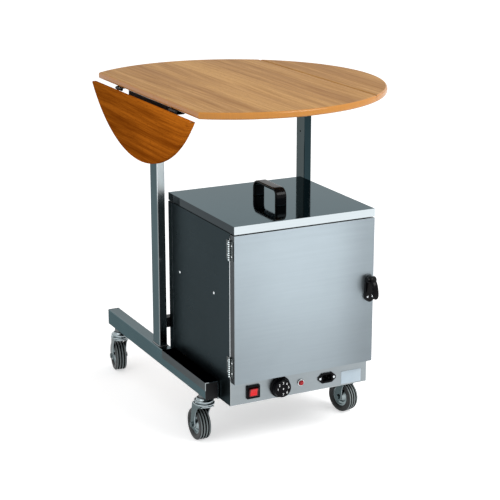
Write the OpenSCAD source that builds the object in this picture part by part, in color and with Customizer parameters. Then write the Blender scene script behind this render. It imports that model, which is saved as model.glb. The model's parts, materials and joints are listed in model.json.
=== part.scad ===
// Room service table: a round drop-leaf top on two inverted-T legs with castors,
// and a heated food box that slides in between the feet.
// X runs across the box, -Y is the door side and Z is up. The origin is on the
// floor, midway between the two posts.

/* [Table top] */
// Height of the table top above the floor
top_height = 780; // [745:1:820]
// Diameter of the round top with both leaves up
top_d = 730; // [690:1:800]
// Distance from the outside of each rail to the leaf seam beyond it
seam_margin = 12; // [8:0.5:25]
// Thickness of the boards
board_t = 16; // [14:0.5:19]
// Radius of the rounded board edges
edge_r = 5; // [2:0.5:6.5]
// Gap between the fixed board and a raised leaf
seam_gap = 1; // [0.6:0.1:2]

/* [Leaf hinges] */
// Distance of the hinge pin below the boards
pin_drop = 4; // [3.6:0.1:5]
// Distance of each hinge from the middle of the seam
hinge_y = 157; // [140:1:200]
// Length of a leaf hinge along its pin
hinge_len = 35; // [28:1:50]
// Reach of each hinge plate from the pin
hinge_reach = 30; // [22:1:36]
// Thickness of the hinge plates
hinge_t = 2; // [1.2:0.1:2.4]
// Radius of the hinge pins
hinge_pin_r = 1.7; // [1.2:0.1:2]

/* [Legs] */
// Gap between the box and each foot
side_gap = 4; // [2:0.5:7]
// Width of a post across the table
post_w = 20; // [16:0.5:22]
// Depth of a post from front to back
post_d = 40; // [34:0.5:46]
// Wall of the post and cross tubes
post_wall = 1.5; // [1:0.1:2.5]
// Diameter of the fixing hole in each post
post_hole_d = 5; // [3:0.5:7]
// Height of the fixing holes above the floor
post_hole_z = 648; // [600:1:700]
// Width of a foot tube
foot_w = 30; // [28:0.5:31]
// Height of a foot tube
foot_h = 40; // [36:0.5:44]
// Wall of the foot tubes
foot_wall = 2; // [1.5:0.1:3]
// Reach of the feet in front of the posts
foot_front = 289; // [280:1:320]
// Reach of the feet behind the posts
foot_back = 301; // [280:1:330]
// Thickness of the head of a foot's end cap
cap_t = 3; // [2:0.5:5]
// Side of the square cross tube
cross_s = 25; // [20:0.5:28]
// Height of the middle of the cross tube above the floor
cross_z = 216; // [205:1:300]
// Width of the black rails on the posts
rail_w = 30; // [24:0.5:32]
// Height of the black rails
rail_h = 20; // [14:0.5:24]
// Length of the black rails
rail_len = 256; // [200:1:270]

/* [Box brackets] */
// Thickness of the bracket sheet
bracket_t = 1.5; // [1:0.1:1.8]
// Depth of the bracket's lip on the outside of the foot
bracket_lip = 18; // [10:0.5:30]
// Width of the ledge under the box
bracket_ledge = 11; // [8:0.5:11]
// Gap between bracket and post
bracket_gap = 27; // [20:1:60]

/* [Castors] */
// Radius of the castor wheels
wheel_r = 37.5; // [34:0.5:38]
// Width of the tyres
tyre_w = 24; // [20:0.5:25]
// Radius of the hub that the tyre sits on
hub_r = 24; // [20:0.5:26]
// Distance of the wheel axle behind the swivel axis
trail = 27; // [24:0.5:29]
// Radius of the axle bolts
axle_r = 4; // [3:0.1:5]
// Radius of the king pins
king_r = 6; // [4:0.1:7]
// Total height of a castor up to the foot tube
castor_h = 121; // [118:0.5:124]
// Distance of each castor from the end of its foot
castor_inset = 42; // [36:1:60]
// Sheet thickness of the forks
fork_t = 2.5; // [2:0.1:3]
// Gap between the fork legs
fork_gap = 31; // [29:0.5:33]

/* [Hot box] */
// Width of the box
box_w = 352; // [340:1:354]
// Depth of the box behind the door
box_d = 326; // [300:1:326]
// Height of the box without its lid
box_h = 400; // [380:1:440]
// Distance of the back of the box in front of the middle of the posts
box_back = 19; // [15:0.5:40]
// Height of the underside of the box above the floor
box_z = 120; // [119:0.5:122]
// Thickness of the box sheet
sheet = 1.2; // [0.8:0.1:1.5]
// Thickness of the insulated walls
wall_t = 20; // [16:0.5:24]
// Height of the control strip under the door
strip_h = 56; // [54:1:62]
// Height of the lid's rim
lid_h = 18; // [14:0.5:30]
// Height of the shadow gap under the lid
lid_gap = 2; // [1:0.1:4]
// Width of the flanges of the back panel
back_flange = 20; // [12:1:30]

/* [Door] */
// Thickness of the door
door_t = 22; // [18:0.5:30]
// Gap that the gasket fills between door and box
door_gap = 3; // [2.5:0.1:4]
// Clearance above and below the door
door_clear = 2; // [1.5:0.1:4]
// Length of a door hinge
door_hinge_len = 44; // [36:1:60]
// Distance of each door hinge from the door's end
door_hinge_inset = 14; // [8:1:60]
// Radius of the door hinge barrels
door_barrel_r = 2.8; // [2.4:0.1:3]
// Radius of the door hinge pins
door_pin_r = 1.5; // [1:0.1:1.8]
// Reach of the door hinges' plates from the pin
door_hinge_reach = 16; // [12:0.5:18]

/* [Handles] */
// Length of the lid handle
handle_len = 120; // [100:1:160]
// Height of the lid handle
handle_h = 39; // [34:0.5:50]
// Width of the lid handle's strap
handle_w = 26; // [16:0.5:30]
// Thickness of the lid handle's strap
handle_t = 6; // [5:0.5:8]
// Height of the latch on the door
latch_len = 60; // [50:1:80]
// Width of the latch
latch_w = 24; // [20:0.5:30]
// Depth of the latch housing
latch_d = 17; // [14:0.5:24]
// Distance of the lever's tip in front of the door
lever_reach = 33; // [30:0.5:40]
// Height of the lever's pivot above the floor
lever_z = 377; // [350:1:420]
// Drop of the lever's tip below its pivot
lever_drop = 52; // [40:1:60]

/* [Controls] */
// Width of the switch frame
switch_w = 33; // [28:0.5:36]
// Height of the switch frame
switch_h = 31; // [26:0.5:34]
// Tilt of the rocker from level
rocker_tilt = 8; // [4:0.5:10]
// Diameter of the thermostat knob's skirt
knob_d = 50; // [40:0.5:52]
// Depth of the thermostat knob
knob_h = 18; // [12:0.5:24]
// Radius of the thermostat spindle
spindle_r = 3; // [2:0.1:4]
// Diameter of the pilot lamp
lamp_d = 13; // [8:0.5:16]
// Width of the power inlet's flange
inlet_w = 46; // [42:0.5:50]
// Height of the power inlet's flange
inlet_h = 24; // [22:0.5:28]

/* [Shelves] */
// Radius of a shelf's frame rod
rod_r = 2.5; // [2:0.1:3.5]
// Radius of a shelf's cross wires
wire_r = 1.2; // [0.8:0.1:2]
// Number of cross wires in a shelf
wire_n = 13; // [7:1:19]
// Height of the lower shelf above the cavity floor
shelf_low = 70; // [40:1:110]
// Height of the upper shelf above the cavity floor
shelf_high = 185; // [130:1:240]

/* [Hidden] */
$fn = 64;

// Running clearance of a pin in its bore, and axial play of knuckles and wheels
run_fit = 0.06;
play = 0.3;
eps = 0.01;

// Table top
leg_x = box_w / 2 + side_gap + foot_w / 2;
seam_x = leg_x + rail_w / 2 + seam_margin;
top_r = top_d / 2;
board_z = top_height - board_t;
pin_x = seam_x + seam_gap / 2;
pin_z = board_z - pin_drop;
knuckle_r = pin_drop - 0.8;

// Legs
post_top = board_z - rail_h;
foot_z = castor_h;
foot_top = foot_z + foot_h;
foot_in = leg_x - foot_w / 2;
foot_out = leg_x + foot_w / 2;
castor_y = [-foot_front + castor_inset, foot_back - castor_inset];
stud_r = 5;
stud_fit = 0.3;

// Castors: corner name order is front left, front right, back left, back right
castor_at = [[-leg_x, castor_y[0]], [leg_x, castor_y[0]],
             [-leg_x, castor_y[1]], [leg_x, castor_y[1]]];
castor_turn = [0, 13, -9, 6];
collar_h = 8.5;
crown_top = castor_h - collar_h - play;
crown_h = 16;
yoke_z = crown_top - crown_h;
yoke_t = 3.5;
fork_w = fork_gap + 2 * fork_t;
fork_half = 23;
hub_len = fork_gap - 2 * play;

// Hot box
box_x = box_w / 2;
box_y1 = -box_back;
box_y0 = box_y1 - box_d;
door_y0 = box_y0 - door_t;
box_top = box_z + box_h;
strip_top = box_z + strip_h;
lid_z0 = box_top + lid_gap;
lid_z1 = lid_z0 + lid_h;
panel_t = 0.8;
shell_y1 = box_y1 - panel_t;
mouth_x = box_x - wall_t;
mouth_z0 = strip_top + wall_t;
mouth_z1 = box_top - wall_t;
cavity_y1 = shell_y1 - wall_t;
collar_in = 10;

// Door
door_z0 = strip_top + door_clear;
door_z1 = lid_z0 - 1.5 * door_clear;
door_y1 = box_y0 - door_gap;
hinge_x = -box_x - door_barrel_r - 0.2;
hinge_mid_y = box_y0 - door_gap / 2;
gasket_w = 9;
gasket_y1 = box_y0 - play;

// Handle and latch
handle_y = (door_y0 + box_y1) / 2;
latch_x = box_x - latch_w / 2;
pivot_y = door_y0 - latch_d * 0.62;
lever_w = 14;
lever_t = 7;
lever_pin_r = 2.5;

// Controls, all on the middle line of the strip
control_z = box_z + strip_h * 0.47;
switch_x = -box_x + 56;
knob_x = -box_x + 124;
lamp_x = -box_x + 178;
inlet_x = -box_x + 246;
strip_y = box_y0;
rocker_w = switch_w - 9;
rocker_h = switch_h - 9;
rocker_r = 15;

// Shelves
upright_y = [box_y0 + 81, box_y0 + 265];
runner_w = 10;
shelf_z = [mouth_z0 + shelf_low, mouth_z0 + shelf_high];
shelf_x = mouth_x - 3.5;
shelf_y0 = box_y0 + 14;
shelf_y1 = cavity_y1 - 8;

// ---- Shared shapes ----

// Rectangle with rounded corners from one corner to the other
module round_rect(x0, y0, x1, y1, r) {
  translate([x0 + r, y0]) square([x1 - x0 - 2 * r, y1 - y0]);
  translate([x0, y0 + r]) square([x1 - x0, y1 - y0 - 2 * r]);
  for (x = [x0 + r, x1 - r], y = [y0 + r, y1 - r]) translate([x, y]) circle(r = r);
}

// Box given by two corners
module block(a, b) {
  translate(a) cube([b[0] - a[0], b[1] - a[1], b[2] - a[2]]);
}

// Rectangular tube profile with rounded corners
module tube_profile(w, h, wall) {
  difference() {
    round_rect(-w / 2, -h / 2, w / 2, h / 2, wall + 0.5);
    round_rect(-w / 2 + wall, -h / 2 + wall, w / 2 - wall, h / 2 - wall, 0.5);
  }
}

// Extrudes an XZ outline along Y from y0 to y1
module along_y(y0, y1) {
  translate([0, y1, 0]) rotate([90, 0, 0]) linear_extrude(height = y1 - y0) children();
}

// Extrudes a YZ outline along X from x0 to x1
module along_x(x0, x1) {
  translate([x0, 0, 0]) rotate([90, 0, 90]) linear_extrude(height = x1 - x0) children();
}

// Two circles on the Y axis of the outline, joined by their outer tangents
module taper_link(r1, r2, d) {
  a = asin((r1 - r2) / d);
  circle(r = r1);
  translate([0, d]) circle(r = r2);
  polygon([[r1 * cos(a), r1 * sin(a)], [r2 * cos(a), d + r2 * sin(a)],
           [-r2 * cos(a), d + r2 * sin(a)], [-r1 * cos(a), r1 * sin(a)]]);
}

// One half of a butt hinge. The pin is on Z, the mounting face at x = face and
// the plate runs towards +Y. Odd knuckles belong to the half with the pin bore.
module butt_half(len, reach, t, face, barrel_r, first, bore) {
  seg = len / 3;
  edge = barrel_r + 0.5;
  own = first ? [0, 2] : [1];
  difference() {
    union() {
      block([face - t, edge, -len / 2], [face, reach, len / 2]);
      for (k = own) {
        z0 = -len / 2 + k * seg + (k > 0 ? play / 2 : 0);
        z1 = -len / 2 + (k + 1) * seg - (k < 2 ? play / 2 : 0);
        translate([0, 0, z0]) cylinder(r = barrel_r, h = z1 - z0);
        block([face - t, 0, z0], [face, edge + eps, z1]);
      }
    }
    if (bore > 0) translate([0, 0, -len]) cylinder(r = bore, h = 2 * len);
    for (s = [-1, 1]) translate([face - t - 1, (edge + reach) / 2, s * len * 0.28])
      rotate([0, 90, 0]) cylinder(r = 1.8, h = t + 2);
  }
}

// ---- Table top ----

// Round board with rounded rim, as one revolved profile
module full_disc() {
  rotate_extrude($fn = 180) difference() {
    round_rect(-top_r, board_z, top_r, top_height, edge_r);
    translate([-2 * top_r, board_z - 1]) square([2 * top_r, board_t + 2]);
  }
}

// Straight board from x0 to x1 with rounded long edges
module plank(x0, x1) {
  along_y(-top_r - 5, top_r + 5) round_rect(x0, board_z, x1, top_height, edge_r);
}

module raised_leaf() {
  intersection() {
    full_disc();
    plank(seam_x + seam_gap, top_r + 20);
  }
}

// Turns a piece of the right half about the right hinge pin, down by an angle
module swing_down(angle) {
  translate([pin_x, 0, pin_z]) rotate([0, angle, 0]) translate([-pin_x, 0, -pin_z]) children();
}

module table_top() {
  color("burlywood") intersection() {
    full_disc();
    plank(-seam_x, seam_x);
  }
}

module right_leaf() {
  color("burlywood") raised_leaf();
}

module left_leaf() {
  color("peru") mirror([1, 0, 0]) swing_down(90) raised_leaf();
}

// Fixed halves of the two hinges of the right leaf, with the pins
module hinge_fixed() {
  for (y = [-hinge_y, hinge_y]) translate([pin_x, y, pin_z]) {
    rotate([90, 0, 0]) rotate([0, 0, 90]) butt_half(hinge_len, hinge_reach, hinge_t,
      pin_drop, knuckle_r, true, 0);
    rotate([90, 0, 0]) cylinder(r = hinge_pin_r, h = hinge_len, center = true);
  }
}

// Moving halves of the two hinges of the right leaf, leaf raised
module hinge_moving() {
  for (y = [-hinge_y, hinge_y]) translate([pin_x, y, pin_z])
    rotate([90, 0, 0]) rotate([0, 0, 90]) mirror([0, 1, 0]) butt_half(hinge_len, hinge_reach,
      hinge_t, pin_drop, knuckle_r, false, hinge_pin_r + run_fit);
}

module left_hinge_plates() { color("dimgray") mirror([1, 0, 0]) hinge_fixed(); }
module left_hinge_flaps() { color("dimgray") mirror([1, 0, 0]) swing_down(90) hinge_moving(); }
module right_hinge_plates() { color("dimgray") hinge_fixed(); }
module right_hinge_flaps() { color("dimgray") hinge_moving(); }

// ---- Legs ----

module rail(side) {
  translate([side * leg_x, 0, 0]) along_y(-rail_len / 2, rail_len / 2)
    translate([0, board_z - rail_h / 2]) tube_profile(rail_w, rail_h, foot_wall);
}

module post(side) {
  difference() {
    translate([side * leg_x, 0, foot_top]) linear_extrude(height = post_top - foot_top)
      tube_profile(post_w, post_d, post_wall);
    translate([side * (leg_x - post_w / 2), 0, post_hole_z]) rotate([0, 90, 0])
      cylinder(d = post_hole_d, h = 4 * post_wall, center = true);
  }
}

module cross_tube() {
  half = leg_x - post_w / 2;
  color("silver") along_x(-half, half) translate([0, cross_z]) tube_profile(cross_s, cross_s, post_wall);
}

module foot(side) {
  difference() {
    translate([side * leg_x, 0, 0]) along_y(-foot_front + cap_t, foot_back - cap_t)
      translate([0, foot_z + foot_h / 2]) tube_profile(foot_w, foot_h, foot_wall);
    for (y = castor_y) translate([side * leg_x, y, foot_z - 1])
      cylinder(r = stud_r + stud_fit, h = foot_wall + 2);
  }
}

// End cap: a head over the tube's end and a ribbed plug inside the tube
module foot_cap() {
  w = foot_w / 2;
  plug = foot_wall + play;
  along_y(0, cap_t) round_rect(-w, foot_z, w, foot_top, foot_wall + 0.5);
  along_y(cap_t - eps, cap_t + 14) difference() {
    round_rect(-w + plug, foot_z + plug, w - plug, foot_top - plug, 0.5);
    round_rect(-w + plug + 2, foot_z + plug + 2, w - plug - 2, foot_top - plug - 2, 0.5);
  }
}

module foot_caps() {
  color("#1b1b1d") for (side = [-1, 1]) translate([side * leg_x, 0, 0]) {
    translate([0, -foot_front, 0]) foot_cap();
    translate([0, foot_back, 0]) mirror([0, 1, 0]) foot_cap();
  }
}

// Folded sheet: lip outside the foot, flat on it, web inside it, ledge under the box
module bracket(side) {
  t = bracket_t;
  mirror([side < 0 ? 1 : 0, 0, 0]) along_y(-foot_front, -post_d / 2 - bracket_gap) {
    translate([foot_out, foot_top - bracket_lip]) square([t, bracket_lip + t]);
    translate([foot_in - t, foot_top]) square([foot_w + 2 * t, t]);
    translate([foot_in - t, box_z - t]) square([t, foot_top - box_z + 2 * t]);
    translate([foot_in - t - bracket_ledge, box_z - t]) square([bracket_ledge + t, t]);
  }
}

module left_rail() { color("#202022") rail(-1); }
module right_rail() { color("#202022") rail(1); }
module left_post() { color("silver") post(-1); }
module right_post() { color("silver") post(1); }
module left_foot() { color("silver") foot(-1); }
module right_foot() { color("silver") foot(1); }
module left_bracket() { color("gray") bracket(-1); }
module right_bracket() { color("gray") bracket(1); }

// ---- Castors ----

// Stud with its nut in the foot, hexagon collar, king pin and rivet head
module castor_stem() {
  translate([0, 0, crown_top + play]) cylinder(r = 14, h = collar_h, $fn = 6);
  translate([0, 0, castor_h - eps]) cylinder(r = stud_r, h = foot_wall + 12);
  translate([0, 0, castor_h + foot_wall]) cylinder(r = 9, h = 8, $fn = 6);
  translate([0, 0, yoke_z - yoke_t - 1]) cylinder(r = king_r, h = crown_top - yoke_z + yoke_t + 2);
  translate([0, 0, yoke_z - yoke_t - play - 3]) cylinder(r1 = king_r + 1, r2 = king_r + 3.5, h = 3);
}

// Side outline of a fork leg: wide under the crown, drawn in to the axle's eye
module fork_leg() {
  difference() {
    polygon([[-fork_half, yoke_z], [fork_half + 1, yoke_z], [trail + 9, wheel_r],
             [trail - 9, wheel_r], [-fork_half, yoke_z - 12]]);
    translate([-fork_half - 1, wheel_r + 6.5]) circle(r = 34);
  }
  translate([trail, wheel_r]) circle(r = 9);
}

// Double ball race above the yoke, as one revolved profile
module crown() {
  translate([0, 0, yoke_z - eps]) rotate_extrude() {
    square([25, 4]);
    translate([25, 2]) circle(r = 2);
    translate([0, 4 - eps]) square([21.5, 3]);
    translate([0, 7 - 2 * eps]) square([23, 4]);
    translate([23, 9 - 2 * eps]) circle(r = 2);
    translate([0, 11 - 3 * eps]) square([17, crown_h - 11 + 4 * eps]);
  }
}

module fork() {
  difference() {
    union() {
      crown();
      for (s = [-1, 1]) along_x(s * (fork_gap + fork_t) / 2 - fork_t / 2,
        s * (fork_gap + fork_t) / 2 + fork_t / 2) fork_leg();
      block([-fork_w / 2, -fork_half, yoke_z - yoke_t], [fork_w / 2, fork_half + 1, yoke_z]);
    }
    translate([0, 0, yoke_z - 20]) cylinder(r = king_r + run_fit, h = crown_h + 40);
    translate([0, trail, wheel_r]) rotate([0, 90, 0])
      cylinder(r = axle_r + 0.05, h = fork_w + 10, center = true);
  }
}

module axle() {
  translate([0, trail, wheel_r]) rotate([0, 90, 0]) {
    cylinder(r = axle_r, h = fork_w + 3, center = true);
    translate([0, 0, -fork_w / 2 - 4]) cylinder(r = 6.5, h = 4, $fn = 6);
    translate([0, 0, fork_w / 2]) cylinder(r = 6.5, h = 4.5, $fn = 6);
  }
}

// Half of the hub's revolved profile: boss, dished web and rim
module hub_half() {
  rim = tyre_w / 2 - 2;
  polygon([[0, 0], [0, hub_len / 2], [8, hub_len / 2], [9, hub_len / 2 - 3], [hub_r - 8, 5.5],
           [hub_r - 4, 6.5], [hub_r - 3, rim], [hub_r, rim], [hub_r, 0]]);
}

module hub() {
  translate([0, trail, wheel_r]) rotate([0, 90, 0]) difference() {
    rotate_extrude() {
      hub_half();
      mirror([0, 1]) hub_half();
    }
    cylinder(r = axle_r + run_fit, h = 2 * hub_len, center = true);
  }
}

// Ribbed tyre: round shoulders and three grooves round the tread
module tyre() {
  r = 5;
  translate([0, trail, wheel_r]) rotate([0, 90, 0]) rotate_extrude($fn = 96) difference() {
    round_rect(hub_r - 10, -tyre_w / 2, wheel_r, tyre_w / 2, r);
    translate([0, -tyre_w]) square([hub_r, 2 * tyre_w]);
    for (k = [-1, 0, 1]) translate([wheel_r, k * (tyre_w - 2 * r) / 2.4]) circle(r = 1.1);
  }
}

// Puts a castor piece at its corner, turned as the castor stands
module at_castor(k) {
  translate([castor_at[k][0], castor_at[k][1], 0]) rotate([0, 0, castor_turn[k]]) children();
}

module castor_stems() { color("gainsboro") for (k = [0:3]) at_castor(k) castor_stem(); }
module one_fork(k) { color("lightsteelblue") at_castor(k) fork(); }
module one_axle(k) { color("gainsboro") at_castor(k) axle(); }
module one_hub(k) { color("#3a3d42") at_castor(k) hub(); }
module one_tyre(k) { color("#55585c") at_castor(k) tyre(); }

// ---- Hot box ----

// Wrap of sides, floor and top, open at the front, with the lid's inset collar
module box_shell() {
  s = sheet;
  c = box_x - collar_in;
  color("#9aa0a4") difference() {
    union() {
      block([-box_x, box_y0, box_z], [box_x, shell_y1, box_top]);
      block([-c, box_y0 + collar_in, box_top - s], [c, shell_y1 - collar_in, lid_z1 - s]);
    }
    block([-box_x + s, box_y0 - 1, box_z + s], [box_x - s, shell_y1 - s, box_top - s]);
    block([-c + s, box_y0 + collar_in + s, box_top - 2 * s],
          [c - s, shell_y1 - collar_in - s, lid_z1 - 2 * s]);
  }
}

// Shallow pan over the back, its flanges lapping the sides
module back_panel() {
  color("#a9aeb2") difference() {
    block([-box_x - panel_t, box_y1 - back_flange, box_z + 1],
          [box_x + panel_t, box_y1, box_top - 1]);
    block([-box_x, box_y1 - back_flange - 1, box_z], [box_x, shell_y1, box_top]);
  }
}

// Cavity with its front flange
module box_liner() {
  s = sheet;
  color("#b4b8bb") difference() {
    union() {
      block([-mouth_x - s, box_y0, mouth_z0 - s], [mouth_x + s, cavity_y1 + s, mouth_z1 + s]);
      block([-box_x + s, box_y0, strip_top + 1], [box_x - s, box_y0 + s, box_top - s]);
    }
    block([-mouth_x, box_y0 - 1, mouth_z0], [mouth_x, cavity_y1, mouth_z1]);
  }
}

// Cover pan with a rim all round and a return lip under it
module box_lid() {
  s = sheet;
  lip = 8;
  color("#85898c") difference() {
    block([-box_x, door_y0, lid_z0], [box_x, box_y1, lid_z1]);
    block([-box_x + s, door_y0 + s, lid_z0 + s], [box_x - s, box_y1 - s, lid_z1 - s]);
    block([-box_x + lip, door_y0 + lip, lid_z0 - 1], [box_x - lip, box_y1 - lip, lid_z0 + 2 * s]);
  }
}

// Bow handle: a strap bent over two legs with round corners
module lid_handle() {
  h = handle_h;
  half = handle_len / 2;
  r = 13;
  color("#151516") translate([0, handle_y, lid_z1]) along_x(-handle_w / 2, handle_w / 2)
    difference() {
      round_rect(-half, -r - 1, half, h, r);
      round_rect(-half + handle_t, -r, half - handle_t, h - handle_t, r - handle_t + 1);
      translate([-half - 1, -r - 2]) square([handle_len + 2, r + 2]);
    }
}

module box_feet() {
  color("#1b1b1d") for (x = [-1, 1], y = [box_y0 + 18, box_y1 - 18])
    translate([x * (box_x - 18.5), y, box_z]) mirror([0, 0, 1]) cylinder(r1 = 6.5, r2 = 5.5, h = 5.5);
}

// Control strip with the cut-outs for what it carries
module control_panel() {
  s = sheet;
  color("#b4b8bb") difference() {
    union() {
      block([-box_x + s, box_y0, box_z + s], [box_x - s, box_y0 + s, strip_top]);
      block([-box_x + s, box_y0, strip_top - s], [box_x - s, box_y0 + 12, strip_top]);
    }
    block([switch_x - rocker_w / 2 - 1.5, box_y0 - 1, control_z - rocker_h / 2 - 1.5],
          [switch_x + rocker_w / 2 + 1.5, box_y0 + 5, control_z + rocker_h / 2 + 1.5]);
    translate([knob_x, box_y0, control_z]) rotate([90, 0, 0])
      cylinder(r = spindle_r + 1, h = 8, center = true);
    translate([lamp_x, box_y0, control_z]) rotate([90, 0, 0])
      cylinder(d = lamp_d - 2, h = 8, center = true);
    block([inlet_x - 14.5, box_y0 - 1, control_z - 10.5], [inlet_x + 14.5, box_y0 + 5, control_z + 10.5]);
  }
}

// Frame and body of the rocker switch, hollow for the rocker
module switch_frame() {
  w = switch_w / 2;
  h = switch_h / 2;
  a = rocker_w / 2;
  b = rocker_h / 2;
  depth = 20;
  color("#141416") translate([switch_x, 0, control_z]) difference() {
    union() {
      along_y(strip_y - 4, strip_y) round_rect(-w, -h, w, h, 2);
      along_y(strip_y - eps, strip_y + depth) round_rect(-a - 1.2, -b - 1.2, a + 1.2, b + 1.2, 0.5);
    }
    block([-a - 0.3, strip_y - 5, -b - 0.3], [a + 0.3, strip_y + depth - 2, b + 0.3]);
  }
}

// Rocker: a slice of a round bar with a hollowed face, tilted about its bar
module switch_rocker() {
  a = rocker_w / 2 - 0.5;
  color("#d3161c") translate([switch_x, strip_y + 6, control_z]) rotate([rocker_tilt, 0, 0])
    difference() {
      intersection() {
        rotate([0, 90, 0]) cylinder(r = rocker_r, h = 2 * a, center = true);
        block([-a, -rocker_r - 1, -rocker_h / 2 + 1.6], [a, 3, rocker_h / 2 - 1.6]);
      }
      translate([0, -rocker_r - 16.5, 0]) rotate([0, 90, 0]) cylinder(r = 20, h = rocker_w, center = true);
    }
}

// Thermostat behind the strip, its spindle through it
module thermostat() {
  color("#c9ccd0") translate([knob_x, strip_y + sheet, control_z]) {
    block([-17, 0, -15], [17, 22, 15]);
    rotate([90, 0, 0]) cylinder(r = spindle_r, h = sheet + knob_h - 4);
  }
}

// Dial knob: skirt, waist, fluted grip and a flat dial face
module thermostat_knob() {
  r = knob_d / 2;
  color("#121214") translate([knob_x, strip_y - 0.5, control_z]) rotate([90, 0, 0]) difference() {
    rotate_extrude() polygon([[0, 0], [r, 0], [r, 3], [r - 1, 4], [r - 3, 5], [r - 4.5, knob_h - 1.5],
                              [r - 6, knob_h], [0, knob_h]]);
    translate([0, 0, -1]) cylinder(r = spindle_r + run_fit, h = knob_h - 3);
    for (k = [0:23]) rotate([0, 0, 15 * k]) translate([r - 2.2, 0, 5.5])
      cylinder(r = 1.2, h = knob_h);
  }
}

module pilot_lamp() {
  color("#c01218") translate([lamp_x, strip_y, control_z]) rotate([90, 0, 0]) {
    translate([0, 0, -16]) cylinder(d = lamp_d - 2.4, h = 17);
    cylinder(d = lamp_d, h = 2.5);
    translate([0, 0, 2.4]) cylinder(d = lamp_d - 2.5, h = 3.6);
    translate([0, 0, 6 - eps]) cylinder(d1 = lamp_d - 2.5, d2 = lamp_d - 6, h = 2);
  }
}

// Appliance inlet: eared flange, shroud with a recess and three pins in it
module power_inlet() {
  w = inlet_w / 2;
  h = inlet_h / 2;
  c = 6;
  color("#121214") translate([inlet_x, 0, control_z]) {
    difference() {
      union() {
        along_y(strip_y - 3, strip_y) polygon([[-w, -3], [-w + c + 4, -h], [w - c - 4, -h], [w, -3],
          [w, 3], [w - c - 4, h], [-w + c + 4, h], [-w, 3]]);
        block([-14, strip_y - eps, -10], [14, strip_y + 22, 10]);
      }
      block([-12, strip_y - 4, -8], [12, strip_y + 16, 8]);
      for (x = [-w + 5, w - 5]) translate([x, strip_y, 0]) rotate([90, 0, 0])
        cylinder(r = 1.6, h = 10, center = true);
    }
    for (p = [[-7, -2], [0, 3], [7, -2]]) block([p[0] - 1, strip_y + 1, p[1] - 2],
      [p[0] + 1, strip_y + 16.5, p[1] + 2]);
  }
}

// Sheathed heating rod in long bends just under the cavity floor
module heater() {
  r = 4;
  n = 5;
  pitch = 50;
  inset_front = 60;
  inset_back = 40;
  y0 = box_y0 + inset_front;
  y1 = cavity_y1 - inset_back;
  z = mouth_z0 - sheet - r - play;
  color("#6d5a4c") translate([-(n - 1) * pitch / 2, 0, z]) {
    for (k = [0:n - 1]) translate([k * pitch, y0, 0]) rotate([-90, 0, 0]) cylinder(r = r, h = y1 - y0);
    for (k = [0:n - 2]) translate([(k + 0.5) * pitch, k % 2 == 0 ? y1 : y0, 0])
      rotate([0, 0, k % 2 == 0 ? 0 : 180]) rotate_extrude(angle = 180) translate([pitch / 2, 0]) circle(r = r);
  }
}

// Two ladders on the cavity's sides: uprights and angle runners
module rack_rails() {
  t = 1.5;
  inset = 20;
  color("#c4c7ca") for (s = [0, 1]) mirror([s, 0, 0]) {
    for (y = upright_y) block([mouth_x - t, y - 8, mouth_z0 + inset], [mouth_x, y + 8, mouth_z1 - inset]);
    for (z = shelf_z) {
      block([mouth_x - runner_w, shelf_y0 - 4, z - rod_r - t], [mouth_x - t + eps, shelf_y1 + 2, z - rod_r]);
      block([mouth_x - 2 * t, shelf_y0 - 4, z - rod_r - t], [mouth_x - t + eps, shelf_y1 + 2, z + 3]);
    }
  }
}

// Wire shelf: rod frame with round corners and straight wires across it
module wire_shelf() {
  x = shelf_x - rod_r - 1.5;
  r = 8;
  for (s = [-1, 1]) {
    translate([s * x, shelf_y0 + r, 0]) rotate([-90, 0, 0])
      cylinder(r = rod_r, h = shelf_y1 - shelf_y0 - 2 * r);
    translate([-x + r, s < 0 ? shelf_y0 : shelf_y1, 0]) rotate([0, 90, 0])
      cylinder(r = rod_r, h = 2 * x - 2 * r);
    for (q = [0, 1]) translate([s * (x - r), q == 0 ? shelf_y0 + r : shelf_y1 - r, 0])
      rotate([0, 0, s > 0 ? (q == 0 ? -90 : 0) : (q == 0 ? 180 : 90)])
        rotate_extrude(angle = 90) translate([r, 0]) circle(r = rod_r);
  }
  for (k = [1:wire_n]) translate([-x + 2 * x * k / (wire_n + 1), shelf_y0, rod_r - wire_r / 2])
    rotate([-90, 0, 0]) cylinder(r = wire_r, h = shelf_y1 - shelf_y0);
}

module wire_shelves() {
  color("#d4d6d8") for (z = shelf_z) translate([0, 0, z]) wire_shelf();
}

// ---- Door ----

// Outer pan of the door
module door_skin() {
  s = sheet;
  color("#aeb2b6") difference() {
    block([-box_x, door_y0, door_z0], [box_x, door_y1, door_z1]);
    block([-box_x + s, door_y0 + s, door_z0 + s], [box_x - s, door_y1 + 1, door_z1 - s]);
  }
}

// Inner pan of the door, pressed out towards the cavity
module door_liner() {
  s = sheet;
  i = 14;
  d = 4;
  color("#c0c3c6") difference() {
    union() {
      block([-box_x + s, door_y1 - s, door_z0 + s], [box_x - s, door_y1, door_z1 - s]);
      block([-mouth_x + i, door_y1 - s, mouth_z0 + i], [mouth_x - i, door_y1 + d, mouth_z1 - i]);
    }
    block([-mouth_x + i + s, door_y1 - s - 1, mouth_z0 + i + s],
          [mouth_x - i - s, door_y1 + d - s, mouth_z1 - i - s]);
  }
}

module door_gasket() {
  a = 3;
  b = a + gasket_w;
  color("#0e0e0f") along_y(door_y1, gasket_y1) difference() {
    round_rect(-mouth_x - b, mouth_z0 - b, mouth_x + b, mouth_z1 + b, 6);
    round_rect(-mouth_x - a, mouth_z0 - a, mouth_x + a, mouth_z1 + a, 3);
  }
}

// Places a door hinge piece at both hinges, the pin on Z
module at_door_hinges() {
  for (z = [door_z0 + door_hinge_inset + door_hinge_len / 2, door_z1 - door_hinge_inset - door_hinge_len / 2])
    translate([hinge_x, hinge_mid_y, z]) children();
}

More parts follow.
